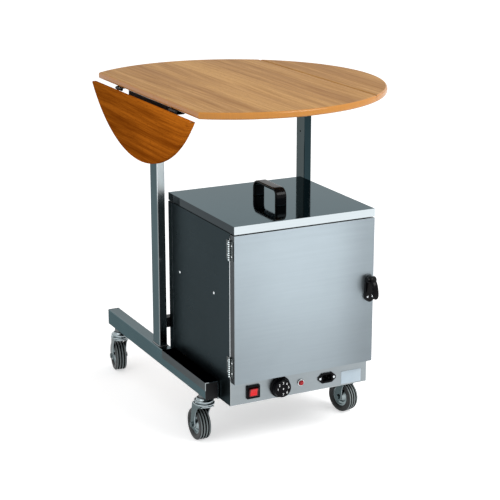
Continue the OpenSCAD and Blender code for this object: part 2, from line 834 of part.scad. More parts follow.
module door_hinge_leaves() {
  color("#c8ccd0") at_door_hinges()
    butt_half(door_hinge_len, door_hinge_reach, sheet, -box_x - hinge_x, door_barrel_r, true,
      door_pin_r + 0.03);
}

module door_hinge_flaps() {
  color("#c8ccd0") at_door_hinges() mirror([0, 1, 0])
    butt_half(door_hinge_len, door_hinge_reach, sheet, -box_x - hinge_x, door_barrel_r, false,
      door_pin_r + run_fit);
}

module door_hinge_pins() {
  color("#e2e4e6") at_door_hinges() {
    cylinder(r = door_pin_r, h = door_hinge_len, center = true);
    for (s = [0, 1]) mirror([0, 0, s]) translate([0, 0, door_hinge_len / 2]) cylinder(r1 = 2.4, r2 = 1.6, h = 1.4);
  }
}

// Latch housing: a tapered pad with two ears for the lever's pin, and a nose that
// wraps the door's edge
module latch_base() {
  r = latch_w / 2;
  top = lever_z - 3;
  z0 = top + 10 - latch_len + r;
  slot = lever_w / 2 + 0.5;
  pad_y = door_y0 - 7;
  nose_t = 2.5;
  color("#101011") difference() {
    union() {
      along_y(pad_y, door_y0) translate([latch_x, z0]) taper_link(r, r - 1, top - z0);
      for (s = [0, 1]) translate([latch_x, 0, 0]) mirror([s, 0, 0]) along_x(slot, r - 1.5) {
        translate([pivot_y, lever_z]) circle(r = 6.5);
        translate([pivot_y, lever_z - 6.5]) square([pad_y - pivot_y + 2, 13]);
      }
      translate([0, 0, lever_z - 32]) linear_extrude(height = 26) polygon([[latch_x, door_y0 - nose_t],
        [box_x + nose_t, door_y0 - nose_t], [box_x + nose_t, door_y1], [box_x, door_y1],
        [box_x, door_y0], [latch_x, door_y0]]);
    }
    translate([latch_x, pivot_y, lever_z]) rotate([0, 90, 0])
      cylinder(r = lever_pin_r + run_fit, h = latch_w + 4, center = true);
    along_x(latch_x - slot, latch_x + slot) translate([pivot_y, lever_z]) circle(r = 8.6);
  }
}

// Curved lever: an arc from the pivot out and down to a round tip
module latch_lever() {
  out = lever_reach - (door_y0 - pivot_y);
  rho = (out * out + lever_drop * lever_drop) / (2 * out);
  cy = pivot_y - out + rho;
  cz = lever_z - lever_drop;
  a = asin(lever_drop / rho);
  color("#0c0c0d") translate([latch_x, 0, 0]) {
    along_x(-lever_w / 2, lever_w / 2) {
      translate([cy, cz]) intersection() {
        difference() {
          circle(r = rho + lever_t / 2, $fn = 96);
          circle(r = rho - lever_t / 2, $fn = 96);
        }
        polygon([[0, 0], [-2 * rho, 0], [-2 * rho, 2 * rho * tan(a)]]);
      }
      translate([pivot_y - out, cz]) circle(r = lever_t / 2);
      translate([pivot_y, lever_z]) circle(r = 8);
    }
    rotate([0, 90, 0]) translate([-lever_z, pivot_y, 0])
      cylinder(r = lever_pin_r, h = latch_w - 3, center = true);
  }
}

// Magnet plate on the side of the box, in line with the latch's nose
module latch_keeper() {
  color("#c8ccd0") block([box_x, box_y0, lever_z - 34], [box_x + 2, box_y0 + 16, lever_z - 2]);
}

// ---- Nodes ----

table_top();
left_leaf();
right_leaf();
left_hinge_plates();
left_hinge_flaps();
right_hinge_plates();
right_hinge_flaps();
left_rail();
right_rail();
left_post();
right_post();
cross_tube();
left_foot();
right_foot();
foot_caps();
left_bracket();
right_bracket();
castor_stems();
one_fork(0);  // front_left_fork
one_axle(0);  // front_left_axle
one_hub(0);  // front_left_hub
one_tyre(0);  // front_left_tyre
one_fork(1);  // front_right_fork
one_axle(1);  // front_right_axle
one_hub(1);  // front_right_hub
one_tyre(1);  // front_right_tyre
one_fork(2);  // back_left_fork
one_axle(2);  // back_left_axle
one_hub(2);  // back_left_hub
one_tyre(2);  // back_left_tyre
one_fork(3);  // back_right_fork
one_axle(3);  // back_right_axle
one_hub(3);  // back_right_hub
one_tyre(3);  // back_right_tyre
box_shell();
back_panel();
box_liner();
box_lid();
lid_handle();
box_feet();
control_panel();
switch_frame();
switch_rocker();
thermostat();
thermostat_knob();
pilot_lamp();
power_inlet();
heater();
rack_rails();
wire_shelves();
door_skin();
door_liner();
door_gasket();
door_hinge_leaves();
door_hinge_pins();
door_hinge_flaps();
latch_base();
latch_lever();
latch_keeper();
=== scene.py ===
import json
from math import pi, radians, tau

import bmesh
import bpy
import numpy as np
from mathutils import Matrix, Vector


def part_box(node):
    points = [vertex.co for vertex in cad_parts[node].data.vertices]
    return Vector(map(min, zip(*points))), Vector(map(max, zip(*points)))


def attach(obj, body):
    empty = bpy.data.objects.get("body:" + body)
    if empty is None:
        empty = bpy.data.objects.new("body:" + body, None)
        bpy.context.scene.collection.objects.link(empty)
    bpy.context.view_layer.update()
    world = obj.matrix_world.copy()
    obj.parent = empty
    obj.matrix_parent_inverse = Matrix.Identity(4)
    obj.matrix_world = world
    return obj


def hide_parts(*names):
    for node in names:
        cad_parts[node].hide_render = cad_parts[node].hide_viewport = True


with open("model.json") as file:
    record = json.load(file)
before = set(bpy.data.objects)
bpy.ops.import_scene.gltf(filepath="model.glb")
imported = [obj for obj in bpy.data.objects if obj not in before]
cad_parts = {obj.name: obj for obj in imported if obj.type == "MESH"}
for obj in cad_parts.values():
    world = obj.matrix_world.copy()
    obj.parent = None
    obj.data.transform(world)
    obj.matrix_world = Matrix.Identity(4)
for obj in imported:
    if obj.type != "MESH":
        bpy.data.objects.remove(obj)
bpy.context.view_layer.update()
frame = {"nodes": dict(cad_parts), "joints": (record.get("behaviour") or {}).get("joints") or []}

scene = bpy.context.scene
recordJoints = {joint["name"]: joint for joint in frame["joints"]}
corners = ["front_left", "front_right", "back_left", "back_right"]
white = (1.0, 1.0, 1.0, 1.0)
grey = (0.5, 0.5, 0.5, 1.0)


def rgba(colour):
    return (*colour, 1.0)


def addObject(name, data):
    made = bpy.data.objects.new(name, data)
    scene.collection.objects.link(made)
    return made


# Node helpers

class Tree:
    # Keeps a node tree and adds linked nodes to it
    def __init__(self, tree):
        self.nodes, self.links = tree.nodes, tree.links

    def add(self, kind, settings=None, values=None):
        node = self.nodes.new(kind)
        for name, value in (settings or {}).items():
            setattr(node, name, value)
        for name, value in (values or {}).items():
            self.put(node.inputs[name], value)
        return node

    def put(self, socket, value):
        if isinstance(value, bpy.types.NodeSocket):
            self.links.new(value, socket)
        else:
            socket.default_value = value

    def math(self, operation, first, second=0.0, third=0.0, clamp=False):
        node = self.add("ShaderNodeMath", {"operation": operation, "use_clamp": clamp})
        for socket, value in zip(node.inputs, (first, second, third)):
            self.put(socket, value)
        return node.outputs[0]

    def times(self, first, second, clamp=False):
        return self.math("MULTIPLY", first, second, clamp=clamp)

    def minus(self, first, second):
        return self.math("SUBTRACT", first, second)

    def total(self, first, second):
        return self.math("ADD", first, second)

    def sway(self, value, amount, base, middle=0.5, clamp=False):
        # base + amount * (value - middle)
        return self.math("MULTIPLY_ADD", self.minus(value, middle), amount, base, clamp)

    def scale(self, vector, amount):
        node = self.add("ShaderNodeVectorMath", {"operation": "SCALE"}, {0: vector, "Scale": amount})
        return node.outputs[0]

    def plus(self, first, second):
        node = self.add("ShaderNodeVectorMath", {"operation": "ADD"}, {0: first, 1: second})
        return node.outputs[0]

    def mix(self, factor, first, second):
        node = self.add("ShaderNodeMix", {"data_type": "RGBA"}, {"Factor": factor, 6: first, 7: second})
        return node.outputs[2]

    def span(self, value, low, high, outLow=0.0, outHigh=1.0, smooth=False):
        node = self.add("ShaderNodeMapRange", {"interpolation_type": "SMOOTHSTEP" if smooth else "LINEAR"}, {
            "Value": value, "From Min": low, "From Max": high, "To Min": outLow, "To Max": outHigh})
        return node.outputs["Result"]

    def noise(self, vector, scale, detail, roughness):
        node = self.add("ShaderNodeTexNoise", None, {"Vector": vector, "Scale": scale,
                                                     "Detail": detail, "Roughness": roughness})
        return node.outputs["Fac"]

    def stretch(self, vector, scale, turn=(0.0, 0.0, 0.0)):
        node = self.add("ShaderNodeMapping", None, {"Vector": vector, "Scale": scale, "Rotation": turn})
        return node.outputs[0]

    def streaks(self, vector, scale, detail, roughness):
        # Noise drawn out by its own scale along each axis
        return self.noise(self.stretch(vector, scale), 1.0, detail, roughness)

    def split(self, vector):
        return self.add("ShaderNodeSeparateXYZ", None, {"Vector": vector}).outputs


# Studio: camera, floor, world and lamps

studio = {
    "cameraPlace": (-1.5369, -3.1283, 1.3869),
    "cameraYaw": 0.4689,        # from +Y towards +X
    "cameraPitch": 0.2837,      # downwards
    "lens": 107.48,
    "floorHalf": 40.0,          # half the floor's side, which fills the view to the horizon
    "floorColour": (0.93, 0.935, 0.94),
    "floorLift": 0.50,          # added to the floor where it is seen directly
    "worldForDiffuse": 0.66,
    "lamps": {                  # place, target, size and power
        "keyLamp": ((1.3, -2.3, 2.5), (0.0, -0.1, 0.5), (1.8, 1.4), 62.0),
        "fillLamp": ((-3.2, -1.0, 2.2), (0.0, 0.0, 0.4), (2.0, 2.0), 10.0),
    },
}


def makeCamera():
    data = bpy.data.cameras.new("camera")
    data.lens = studio["lens"]
    data.clip_end = 100.0
    camera = addObject("camera", data)
    camera.location = studio["cameraPlace"]
    camera.rotation_euler = (pi / 2 - studio["cameraPitch"], 0.0, -studio["cameraYaw"])
    scene.camera = camera


def addAreaLamp(name, place, target, size, power):
    data = bpy.data.lights.new(name, "AREA")
    data.shape = "RECTANGLE"
    data.size, data.size_y = size
    data.energy = power
    lamp = addObject(name, data)
    lamp.location = place
    lamp.rotation_euler = (Vector(target) - Vector(place)).to_track_quat("-Z", "Y").to_euler()


def seenDirectly(t):
    # 1 where a camera, glossy or transmission ray looks, 0 for the rest
    path = t.add("ShaderNodeLightPath").outputs
    first = t.math("MAXIMUM", path["Is Camera Ray"], path["Is Glossy Ray"])
    return t.math("MAXIMUM", first, path["Is Transmission Ray"])


def makeWorld():
    # White where it is seen, a softer white as light
    world = bpy.data.worlds.new("studioWorld")
    scene.world = world
    world.use_nodes = True
    t = Tree(world.node_tree)
    t.nodes.clear()
    strength = t.span(seenDirectly(t), 0.0, 1.0, studio["worldForDiffuse"], 1.0)
    background = t.add("ShaderNodeBackground", None, {"Color": white, "Strength": strength})
    t.add("ShaderNodeOutputWorld", None, {"Surface": background.outputs[0]})


def makeFloor():
    half = studio["floorHalf"]
    mesh = bpy.data.meshes.new("floor")
    mesh.from_pydata([(-half, -half, 0), (half, -half, 0), (half, half, 0), (-half, half, 0)],
                     [], [(0, 1, 2, 3)])
    paint = bpy.data.materials.new("floorPaint")
    paint.use_nodes = True
    t = Tree(paint.node_tree)
    lift = t.times(seenDirectly(t), studio["floorLift"])
    for name, value in {"Base Color": rgba(studio["floorColour"]), "Roughness": 0.9, "Emission Color": white,
                        "Specular IOR Level": 0.1, "Emission Strength": lift}.items():
        t.put(t.nodes["Principled BSDF"].inputs[name], value)
    mesh.materials.append(paint)
    addObject("floor", mesh)


scene.view_settings.view_transform = "Standard"
makeCamera()
makeWorld()
makeFloor()
for lampName, lampValues in studio["lamps"].items():
    addAreaLamp(lampName, *lampValues)
print("studio ready")


# Shader groups that the materials share

def newGroup(name, inputs, outputs):
    # Named sockets: an input is a vector where its default is None, a colour where it
    # is four numbers and a plain value otherwise; only the output Colour is a colour
    tree = bpy.data.node_groups.new(name, "ShaderNodeTree")
    for label, value in inputs.items():
        kind = "Vector" if value is None else "Color" if isinstance(value, tuple) else "Float"
        socket = tree.interface.new_socket(label, in_out="INPUT", socket_type="NodeSocket" + kind)
        if value is not None:
            socket.default_value = value
    for label in outputs:
        tree.interface.new_socket(label, in_out="OUTPUT",
                                  socket_type="NodeSocketColor" if label == "Colour" else "NodeSocketFloat")
    t = Tree(tree)
    return tree, t, t.add("NodeGroupInput").outputs, t.add("NodeGroupOutput").inputs


faceNames = ["Left", "Right", "Front", "Back", "Under", "Top"]


def makePaintedReflectionGroup():
    # Painted reflection: one tone for each way a face looks, mixed by the squares of its normal, so that the
    # light and shade that polished metal mirrors is painted into its colour
    tree, t, given, result = newGroup("facePaintedReflection", {"Normal": None, **dict.fromkeys(faceNames, grey)},
                                      ["Colour"])
    parts = t.split(given["Normal"])
    total = None
    for axis, low, high in zip("XYZ", faceNames[0::2], faceNames[1::2]):
        side = t.math("GREATER_THAN", parts[axis], 0.0)
        weight = t.times(parts[axis], parts[axis])
        share = t.scale(t.mix(side, given[low], given[high]), weight)
        total = share if total is None else t.plus(total, share)
    t.put(result["Colour"], total)
    return tree


brush = {
    "fineLines": (14.0, 900.0, 900.0),      # scale along, across and up
    "broadLines": (3.0, 160.0, 160.0),
    "fineShare": 0.6,
    "cloudScale": 5.0,
    "smudgeScale": 24.0,
    "smudgeRough": 0.14,
    "lineRough": 0.08,
}


def makeBrushGroup():
    # Rolled or ground sheet: fine lines along one axis, soft clouds and faint smudges
    tree, t, given, result = newGroup("brushedSheet", {
        "Vector": None, "Colour": grey, "Lines": 0.5, "Clouds": 0.5, "Roughness": 0.3},
        ["Colour", "Roughness", "Height"])
    fine = t.streaks(given["Vector"], brush["fineLines"], 3.0, 0.7)
    broad = t.streaks(given["Vector"], brush["broadLines"], 2.0, 0.5)
    clouds = t.noise(given["Vector"], brush["cloudScale"], 3.0, 0.55)
    smudge = t.noise(given["Vector"], brush["smudgeScale"], 4.0, 0.6)
    lines = t.total(t.times(fine, brush["fineShare"]),
                   t.times(broad, 1.0 - brush["fineShare"]))
    tone = t.times(t.sway(lines, given["Lines"], 1.0), t.sway(clouds, given["Clouds"], 1.0))
    rough = t.sway(smudge, brush["smudgeRough"], given["Roughness"])
    t.put(result["Colour"], t.scale(given["Colour"], tone))
    t.put(result["Roughness"], t.sway(fine, brush["lineRough"], rough, clamp=True))
    t.put(result["Height"], fine)
    return tree


grain = {                               # scale across the grain and along it
    "wander": (5.0, 1.2, 0.0),
    "broad": (24.0, 0.9, 0.0),
    "streak": (110.0, 2.6, 0.0),
    "fine": (520.0, 8.0, 0.0),
    "pore": (520.0, 60.0, 0.0),
    "wanderReach": 0.03,                # metres that a line strays
    "broadShare": 0.40, "streakShare": 0.40, "fineShare": 0.30, "staveShare": 0.16,
    "middle": 0.55, "light": 0.36, "dark": 0.76,        # tone's middle and ends
    "poreFrom": 0.55, "poreTo": 0.70, "poreDepth": 0.5,
    "lippingGrain": 0.45, "lippingPolish": 0.55, "lippingSmooth": 0.16,
}


def makeVeneerGroup():
    # Veneer in the board's own plane: staves of tone along the grain, streaks,
    # pores, and a plain lipping round the rim with its own colour
    g = grain
    tree, t, given, result = newGroup("veneer", {
        "Vector": None, "Light": grey, "Dark": grey, "Lipping": grey, "Rim": 0.36, "Seam": 0.22,
        "Seam Side": 1.0, "Stave": 0.08, "Contrast": 1.0}, ["Colour", "Roughness", "Height", "Polish"])
    x, y = t.split(given["Vector"])[:2]
    bent = t.sway(t.streaks(given["Vector"], g["wander"], 2.0, 0.5), g["wanderReach"], x)
    flat = t.add("ShaderNodeCombineXYZ", None, {"X": bent, "Y": y}).outputs[0]
    staveIndex = t.math("FLOOR", t.math("DIVIDE", t.total(x, 1.0), given["Stave"]))
    staveTone = t.add("ShaderNodeTexWhiteNoise", {"noise_dimensions": "1D"}, {"W": staveIndex}).outputs[0]
    broad = t.streaks(flat, g["broad"], 3.0, 0.55)
    streak = t.streaks(flat, g["streak"], 4.0, 0.65)
    fine = t.streaks(flat, g["fine"], 3.0, 0.6)
    pores = t.span(t.streaks(given["Vector"], g["pore"], 2.0, 0.5), g["poreFrom"], g["poreTo"])
    tone = t.total(t.times(broad, g["broadShare"]), t.times(streak, g["streakShare"]))
    tone = t.total(tone, t.times(fine, g["fineShare"]))
    tone = t.sway(staveTone, g["staveShare"], tone)
    tone = t.sway(tone, given["Contrast"], g["middle"], g["middle"])
    face = t.mix(t.span(tone, g["light"], g["dark"], smooth=True), given["Light"], given["Dark"])
    face = t.mix(t.times(pores, g["poreDepth"]), face, given["Dark"])
    reach = t.math("SQRT", t.total(t.times(x, x), t.times(y, y)))
    rim = t.span(reach, t.minus(given["Rim"], 0.0006), given["Rim"])
    pastSeam = t.minus(t.math("ABSOLUTE", x), given["Seam"])
    seam = t.math("GREATER_THAN", t.times(pastSeam, given["Seam Side"]), 0.0)
    lipping = t.math("MAXIMUM", rim, seam)
    band = t.mix(t.times(fine, g["lippingGrain"]), given["Lipping"], given["Dark"])
    t.put(result["Colour"], t.mix(lipping, face, band))
    t.put(result["Roughness"], t.minus(t.span(streak, 0.2, 0.8, 0.40, 0.52),
                                      t.times(lipping, g["lippingSmooth"])))
    t.put(result["Height"], t.minus(t.times(fine, 0.4), pores))
    t.put(result["Polish"], t.times(lipping, g["lippingPolish"]))
    return tree


def makeSpeckleGroup():
    # Moulded and painted faces: dust lies in patches, broken up by the grain
    tree, t, given, result = newGroup("speckle", {
        "Vector": None, "Colour": grey, "Dust": grey, "Amount": 0.1, "Grain": 600.0, "Roughness": 0.5},
        ["Colour", "Roughness", "Height"])
    spots = t.noise(given["Vector"], given["Grain"], 3.0, 0.6)
    patch = t.noise(given["Vector"], 38.0, 4.0, 0.6)
    mask = t.times(t.span(patch, 0.42, 0.75), given["Amount"])
    mask = t.times(mask, t.span(spots, 0.3, 0.7, 0.5, 1.5), clamp=True)
    t.put(result["Colour"], t.mix(mask, given["Colour"], given["Dust"]))
    t.put(result["Roughness"], t.sway(spots, 0.2, given["Roughness"], clamp=True))
    t.put(result["Height"], spots)
    return tree


facePaintedReflection = makePaintedReflectionGroup()
brushedSheet = makeBrushGroup()
veneer = makeVeneerGroup()
speckle = makeSpeckleGroup()


# Materials

def startMaterial(name):
    # The material, its tree, its shader's sockets and its texture coordinates
    material = bpy.data.materials.new(name)
    material.use_nodes = True
    t = Tree(material.node_tree)
    return material, t, t.nodes["Principled BSDF"].inputs, t.add("ShaderNodeTexCoord").outputs


def finish(t, shader, group, values, bumpStrength, bumpDistance=0.0002):
    # Puts a shared group in the material and feeds the shader from it
    placed = t.add("ShaderNodeGroup", {"node_tree": group}, values).outputs
    t.put(shader["Base Color"], placed["Colour"])
    t.put(shader["Roughness"], placed["Roughness"])
    if bumpStrength > 0:
        bump = t.add("ShaderNodeBump", None, {"Strength": bumpStrength, "Distance": bumpDistance,
                                              "Height": placed["Height"]})
        t.put(shader["Normal"], bump.outputs[0])
    return placed


def sheetMaterial(name, tones, rough, lines=0.25, clouds=0.3, turn=(0.0, 0.0, 0.0), bump=0.05, edge=1.0,
                  shade=None):
    # Bare metal whose tones for the ways its faces look are painted reflection; rough may be a
    # function that gives it over the surface, and shade is one that scales the tone with painted light and
    # shade
    material, t, shader, where = startMaterial(name)
    coords = where["Object"]
    faces = {face: rgba(tone or tones[0]) for face, tone in zip(faceNames, tones + [None] * len(faceNames))}
    colour = t.add("ShaderNodeGroup", {"node_tree": facePaintedReflection}, {"Normal": where["Normal"], **faces}).outputs[0]
    if shade:
        colour = t.scale(colour, shade(t, coords))
    shader["Metallic"].default_value = 1.0
    shader["Specular Tint"].default_value = (edge, edge, edge, 1.0)
    finish(t, shader, brushedSheet, {
        "Vector": t.stretch(coords, (1.0, 1.0, 1.0), turn), "Colour": colour, "Lines": lines, "Clouds": clouds,
        "Roughness": rough(t, coords) if callable(rough) else rough}, bump)
    return material


def plainMaterial(name, colour, rough, dust=0.3, amount=0.08, spots=900.0, bump=0.08, specular=0.5, coat=0.0):
    # Moulded or painted; dust is a colour, or one number for a grey
    material, t, shader, where = startMaterial(name)
    shader["Specular IOR Level"].default_value = specular
    shader["Coat Weight"].default_value = coat
    shader["Coat Roughness"].default_value = 0.08
    finish(t, shader, speckle, {
        "Vector": where["Object"], "Colour": rgba(colour), "Amount": amount, "Grain": spots, "Roughness": rough,
        "Dust": rgba(dust if isinstance(dust, tuple) else (dust, dust, dust))}, bump)
    return material


rocker = {
    "window": (0.62, 0.006, 0.010),
    "border": (0.05, 0.003, 0.004),
    "windowPaintedGlow": (1.0, 0.01, 0.02),
    "borderPaintedGlow": (0.02, 0.0, 0.0),
    "paintedGlowStrength": 0.12,
    "across": (0.0072, 0.0096),     # where the window starts to end, and ends
    "upright": (0.0066, 0.0090),
}


def rockerMaterial(name):
    # Red window with a painted glow, inside a nearly black border
    material, t, shader, where = startMaterial(name)
    coords = where["Object"]
    low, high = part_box("switch_rocker")
    window = None
    for axis, letter, limits in ((0, "X", rocker["across"]), (2, "Z", rocker["upright"])):
        away = t.math("ABSOLUTE", t.minus(t.split(coords)[letter], (low[axis] + high[axis]) / 2))
        inside = t.span(away, *limits, 1.0, 0.0, smooth=True)
        window = inside if window is None else t.times(window, inside)
    shader["Specular IOR Level"].default_value = 0.3
    shader["Emission Strength"].default_value = rocker["paintedGlowStrength"]
    t.put(shader["Emission Color"], t.mix(window, rgba(rocker["borderPaintedGlow"]), rgba(rocker["windowPaintedGlow"])))
    finish(t, shader, speckle, {
        "Vector": coords, "Colour": t.mix(window, rgba(rocker["border"]), rgba(rocker["window"])),
        "Dust": rgba((0.5, 0.05, 0.05)), "Amount": 0.04, "Grain": 900.0, "Roughness": 0.25}, 0.02)
    return material


wood = {
    # light, dark and lipping
    "topTones": [(0.575, 0.316, 0.105), (0.285, 0.128, 0.034), (0.60, 0.245, 0.040)],
    # The hanging leaf's tones are the top's wood darkened with painted shade for where it hangs
    "shadedLeafTones": [(0.480, 0.134, 0.0095), (0.186, 0.040, 0.0020), (0.165, 0.062, 0.012)],
    "rimRadius": 0.3618,
    "seamPlace": 0.2198,
    "stave": 0.083,
    "shine": 0.04,
    "leafShine": 0.0,
    "leafPaintedLight": (-0.22, 0.22, 1.22, 0.90),      # along the hinge: from, to, and the tone there
}


def woodMaterial(name, tones, seamSide=0.0, contrast=1.0, hanging=False):
    material, t, shader, where = startMaterial(name)
    coords = where["Object"]
    if hanging:
        # Brings the hanging leaf back up about its hinge pin, into the top's plane
        pin = recordJoints["left_leaf_fold"]["pos_m"]
        coords = t.add("ShaderNodeVectorRotate", {"rotation_type": "Y_AXIS"},
                       {"Vector": coords, "Center": pin, "Angle": radians(-90)}).outputs[0]
    light, dark, lipping = map(rgba, tones)
    shader["Specular IOR Level"].default_value = wood["leafShine" if hanging else "shine"]
    shader["Coat Roughness"].default_value = 0.16
    placed = finish(t, shader, veneer, {
        "Vector": coords, "Light": light, "Dark": dark, "Lipping": lipping, "Rim": wood["rimRadius"],
        "Seam": wood["seamPlace"], "Seam Side": seamSide, "Stave": wood["stave"], "Contrast": contrast},
        0.06, 0.0003)
    t.put(shader["Coat Weight"], placed["Polish"])
    # Painted light on the hanging leaf: its tone is raised towards the front end and lowered towards the back
    if hanging:
        paintedLight = t.span(t.split(coords)["Y"], *wood["leafPaintedLight"])
        t.put(shader["Base Color"], t.scale(placed["Colour"], paintedLight))
    return material


# Painted light and shade for the door, the post fronts and the hinge; postGloss gives a roughness instead
shades = {                              # from, to, and the tone at each
    "doorHeight": (0.17, 0.50, 0.80, 1.14),
    "doorAway": (0.02, 0.19, 1.10, 0.93),
    "doorLatchSide": (0.07, 0.17, 1.0, 0.80),
    "postHeight": (0.50, 0.56, 0.26, 1.0),
    "postGloss": (0.50, 0.57, 0.14, 0.45),
    "knuckle": 0.0049, "knuckleBright": 1.6, "knuckleDark": 0.12, "hingePlate": 0.24,
    "barrelEdge": -0.1774,
}


def doorShade(t, coords):
    # Painted light: brightest near the top of the middle, falling off downwards and to the latch side
    parts = t.split(coords)
    low = t.span(parts["Z"], *shades["doorHeight"], smooth=True)
    away = t.span(t.math("ABSOLUTE", t.total(parts["X"], 0.02)), *shades["doorAway"], smooth=True)
    latch = t.span(parts["X"], *shades["doorLatchSide"], smooth=True)
    return t.times(t.times(low, away), latch)


def postShade(t, coords):
    # Painted reflection: the front of a post is dark below the lid, which it mirrors, and bright above
    parts = t.split(coords)
    inFront = t.math("LESS_THAN", parts["Y"], -0.0192)
    below = t.span(parts["Z"], *shades["postHeight"], smooth=True)
    return t.total(t.times(inFront, below), t.minus(1.0, inFront))


def postGloss(t, coords):
    # Softer above the lid's height, mirror-like below it
    return t.span(t.split(coords)["Z"], *shades["postGloss"], smooth=True)


def knuckleShade(t, coords):
    # Painted light and shade on the hinge: dark plates for the dark room that they mirror, a painted highlight
    # along the barrel and painted shade at each knuckle's end
    parts = t.split(coords)
    cycle = t.math("FRACT", t.times(parts["Z"], 1.0 / shades["knuckle"]))
    line = t.math("LESS_THAN", t.math("ABSOLUTE", t.minus(cycle, 0.5)), 0.30)
    barrel = t.math("LESS_THAN", parts["X"], shades["barrelEdge"])
    bright = t.math("MULTIPLY_ADD", line, shades["knuckleBright"], shades["knuckleDark"])
    plate = t.times(t.minus(1.0, barrel), shades["hingePlate"])
    return t.total(t.times(barrel, bright), plate)


# Ways to turn a sheet's lines, which run from side to side
inDepth, upright = (0.0, 0.0, radians(90)), (0.0, radians(90), 0.0)

# Painted reflection: polished steel mirrors the room, so each way a face looks has its own tone, painting in
# the light and shade it mirrors, in the order of faceNames; where one is None or missing, the first is used
zincTones = [
    (0.13, 0.17, 0.178), (0.42, 0.46, 0.47), (0.55, 0.6, 0.61), (0.36, 0.39, 0.4), (0.1, 0.11, 0.115),
    (0.62, 0.66, 0.67)]
sheets = {
    "sideSteel": dict(rough=0.3, turn=inDepth, edge=0.5, tones=[
        (0.032, 0.0445, 0.0496), (0.1, 0.12, 0.125), (0.36, 0.39, 0.4), (0.2, 0.22, 0.23),
        (0.03, 0.035, 0.038), (0.1, 0.12, 0.13)]),
    "lidSteel": dict(rough=0.06, lines=0.08, clouds=0.12, bump=0.01, edge=0.62, tones=[
        (0.035, 0.045, 0.05), (0.14, 0.16, 0.165), (0.45, 0.495, 0.515), (0.24, 0.26, 0.27),
        (0.04, 0.045, 0.05), (0.0975, 0.165, 0.189)]),
    "doorSteel": dict(rough=0.36, lines=0.18, clouds=0.14, shade=doorShade, tones=[
        (0.018, 0.025, 0.029), (0.3, 0.33, 0.34), (0.297, 0.345, 0.375), (0.45, 0.47, 0.48),
        (0.2, 0.22, 0.23), (0.42, 0.45, 0.46)]),
    "panelSteel": dict(rough=0.36, lines=0.2, tones=[
        (0.1, 0.11, 0.115), None, (0.255, 0.285, 0.3), None, None, (0.3, 0.32, 0.33)]),
    "linerSteel": dict(rough=0.3, lines=0.2, clouds=0.2, tones=[
        (0.42, 0.44, 0.45), None, (0.5, 0.52, 0.53), (0.45, 0.47, 0.48)]),
    "postSteel": dict(rough=postGloss, lines=0.12, clouds=0.25, turn=upright, edge=0.5, shade=postShade, tones=[
        (0.087, 0.128, 0.14), (0.22, 0.26, 0.27), (0.86, 0.92, 0.94), (0.24, 0.27, 0.28),
        (0.05, 0.06, 0.06), (0.3, 0.34, 0.35)]),
    # The far post's own copy of the post steel, its front painted dark for the dark reflection it shows
    "farPostShadedSteel": dict(rough=0.14, lines=0.12, clouds=0.25, turn=upright, edge=0.5, tones=[
        (0.068, 0.084, 0.086), (0.22, 0.26, 0.27), (0.0153, 0.029, 0.034), (0.24, 0.27, 0.28), None,
        (0.3, 0.34, 0.35)]),
    "footSteel": dict(rough=0.2, lines=0.12, clouds=0.25, turn=inDepth, edge=0.4, tones=[
        (0.1015, 0.151, 0.165), (0.16, 0.19, 0.2), (0.3, 0.33, 0.34), (0.2, 0.22, 0.23),
        (0.02, 0.024, 0.026), (0.235, 0.285, 0.3)]),
    "bracketSteel": dict(rough=0.06, lines=0.1, clouds=0.25, turn=inDepth, bump=0.01, edge=0.25, tones=[
        (0.15, 0.163, 0.168), (0.1, 0.12, 0.125), (0.3, 0.33, 0.34), (0.15, 0.17, 0.175),
        (0.012, 0.014, 0.016), (0.032, 0.036, 0.066)]),
    "zinc": dict(tones=zincTones, rough=0.22, lines=0.08, clouds=0.5, bump=0.02),
    "hingeSteel": dict(tones=zincTones, rough=0.25, lines=0.05, bump=0.0, shade=knuckleShade),
    # Fork steel: the zinc darkened with painted shade, as the fork stands in shadow
    "forkShadedSteel": dict(rough=0.26, lines=0.1, clouds=0.6, bump=0.02, edge=0.7, tones=[
        (0.105, 0.145, 0.152), (0.03, 0.04, 0.042), (0.1, 0.13, 0.135), (0.16, 0.18, 0.185),
        (0.02, 0.025, 0.025), (0.45, 0.5, 0.51)]),
    "raceZinc": dict(rough=0.16, lines=0.1, clouds=0.6, bump=0.02, tones=[
        (0.16, 0.21, 0.22), (0.3, 0.34, 0.35), (0.5, 0.57, 0.6), (0.3, 0.33, 0.34), (0.02, 0.025, 0.026),
        (0.5, 0.56, 0.58)]),
    "darkZinc": dict(rough=0.3, lines=0.1, clouds=0.5, bump=0.02, tones=[
        (0.12, 0.13, 0.135), None, None, None, None, (0.4, 0.42, 0.43)]),
    "wireChrome": dict(rough=0.1, lines=0.05, clouds=0.2, bump=0.0, tones=[(0.6, 0.62, 0.63)]),
    "hubSteel": dict(rough=0.35, lines=0.1, clouds=0.5, bump=0.03, tones=[
        (0.3, 0.37, 0.385), (0.35, 0.38, 0.39), (0.3, 0.34, 0.35)]),
    "brightScrew": dict(rough=0.2, lines=0.05, bump=0.0, tones=[(0.7, 0.74, 0.76)]),
    "innerMetal": dict(rough=0.4, lines=0.1, clouds=0.5, tones=[(0.3, 0.29, 0.28)]),
}

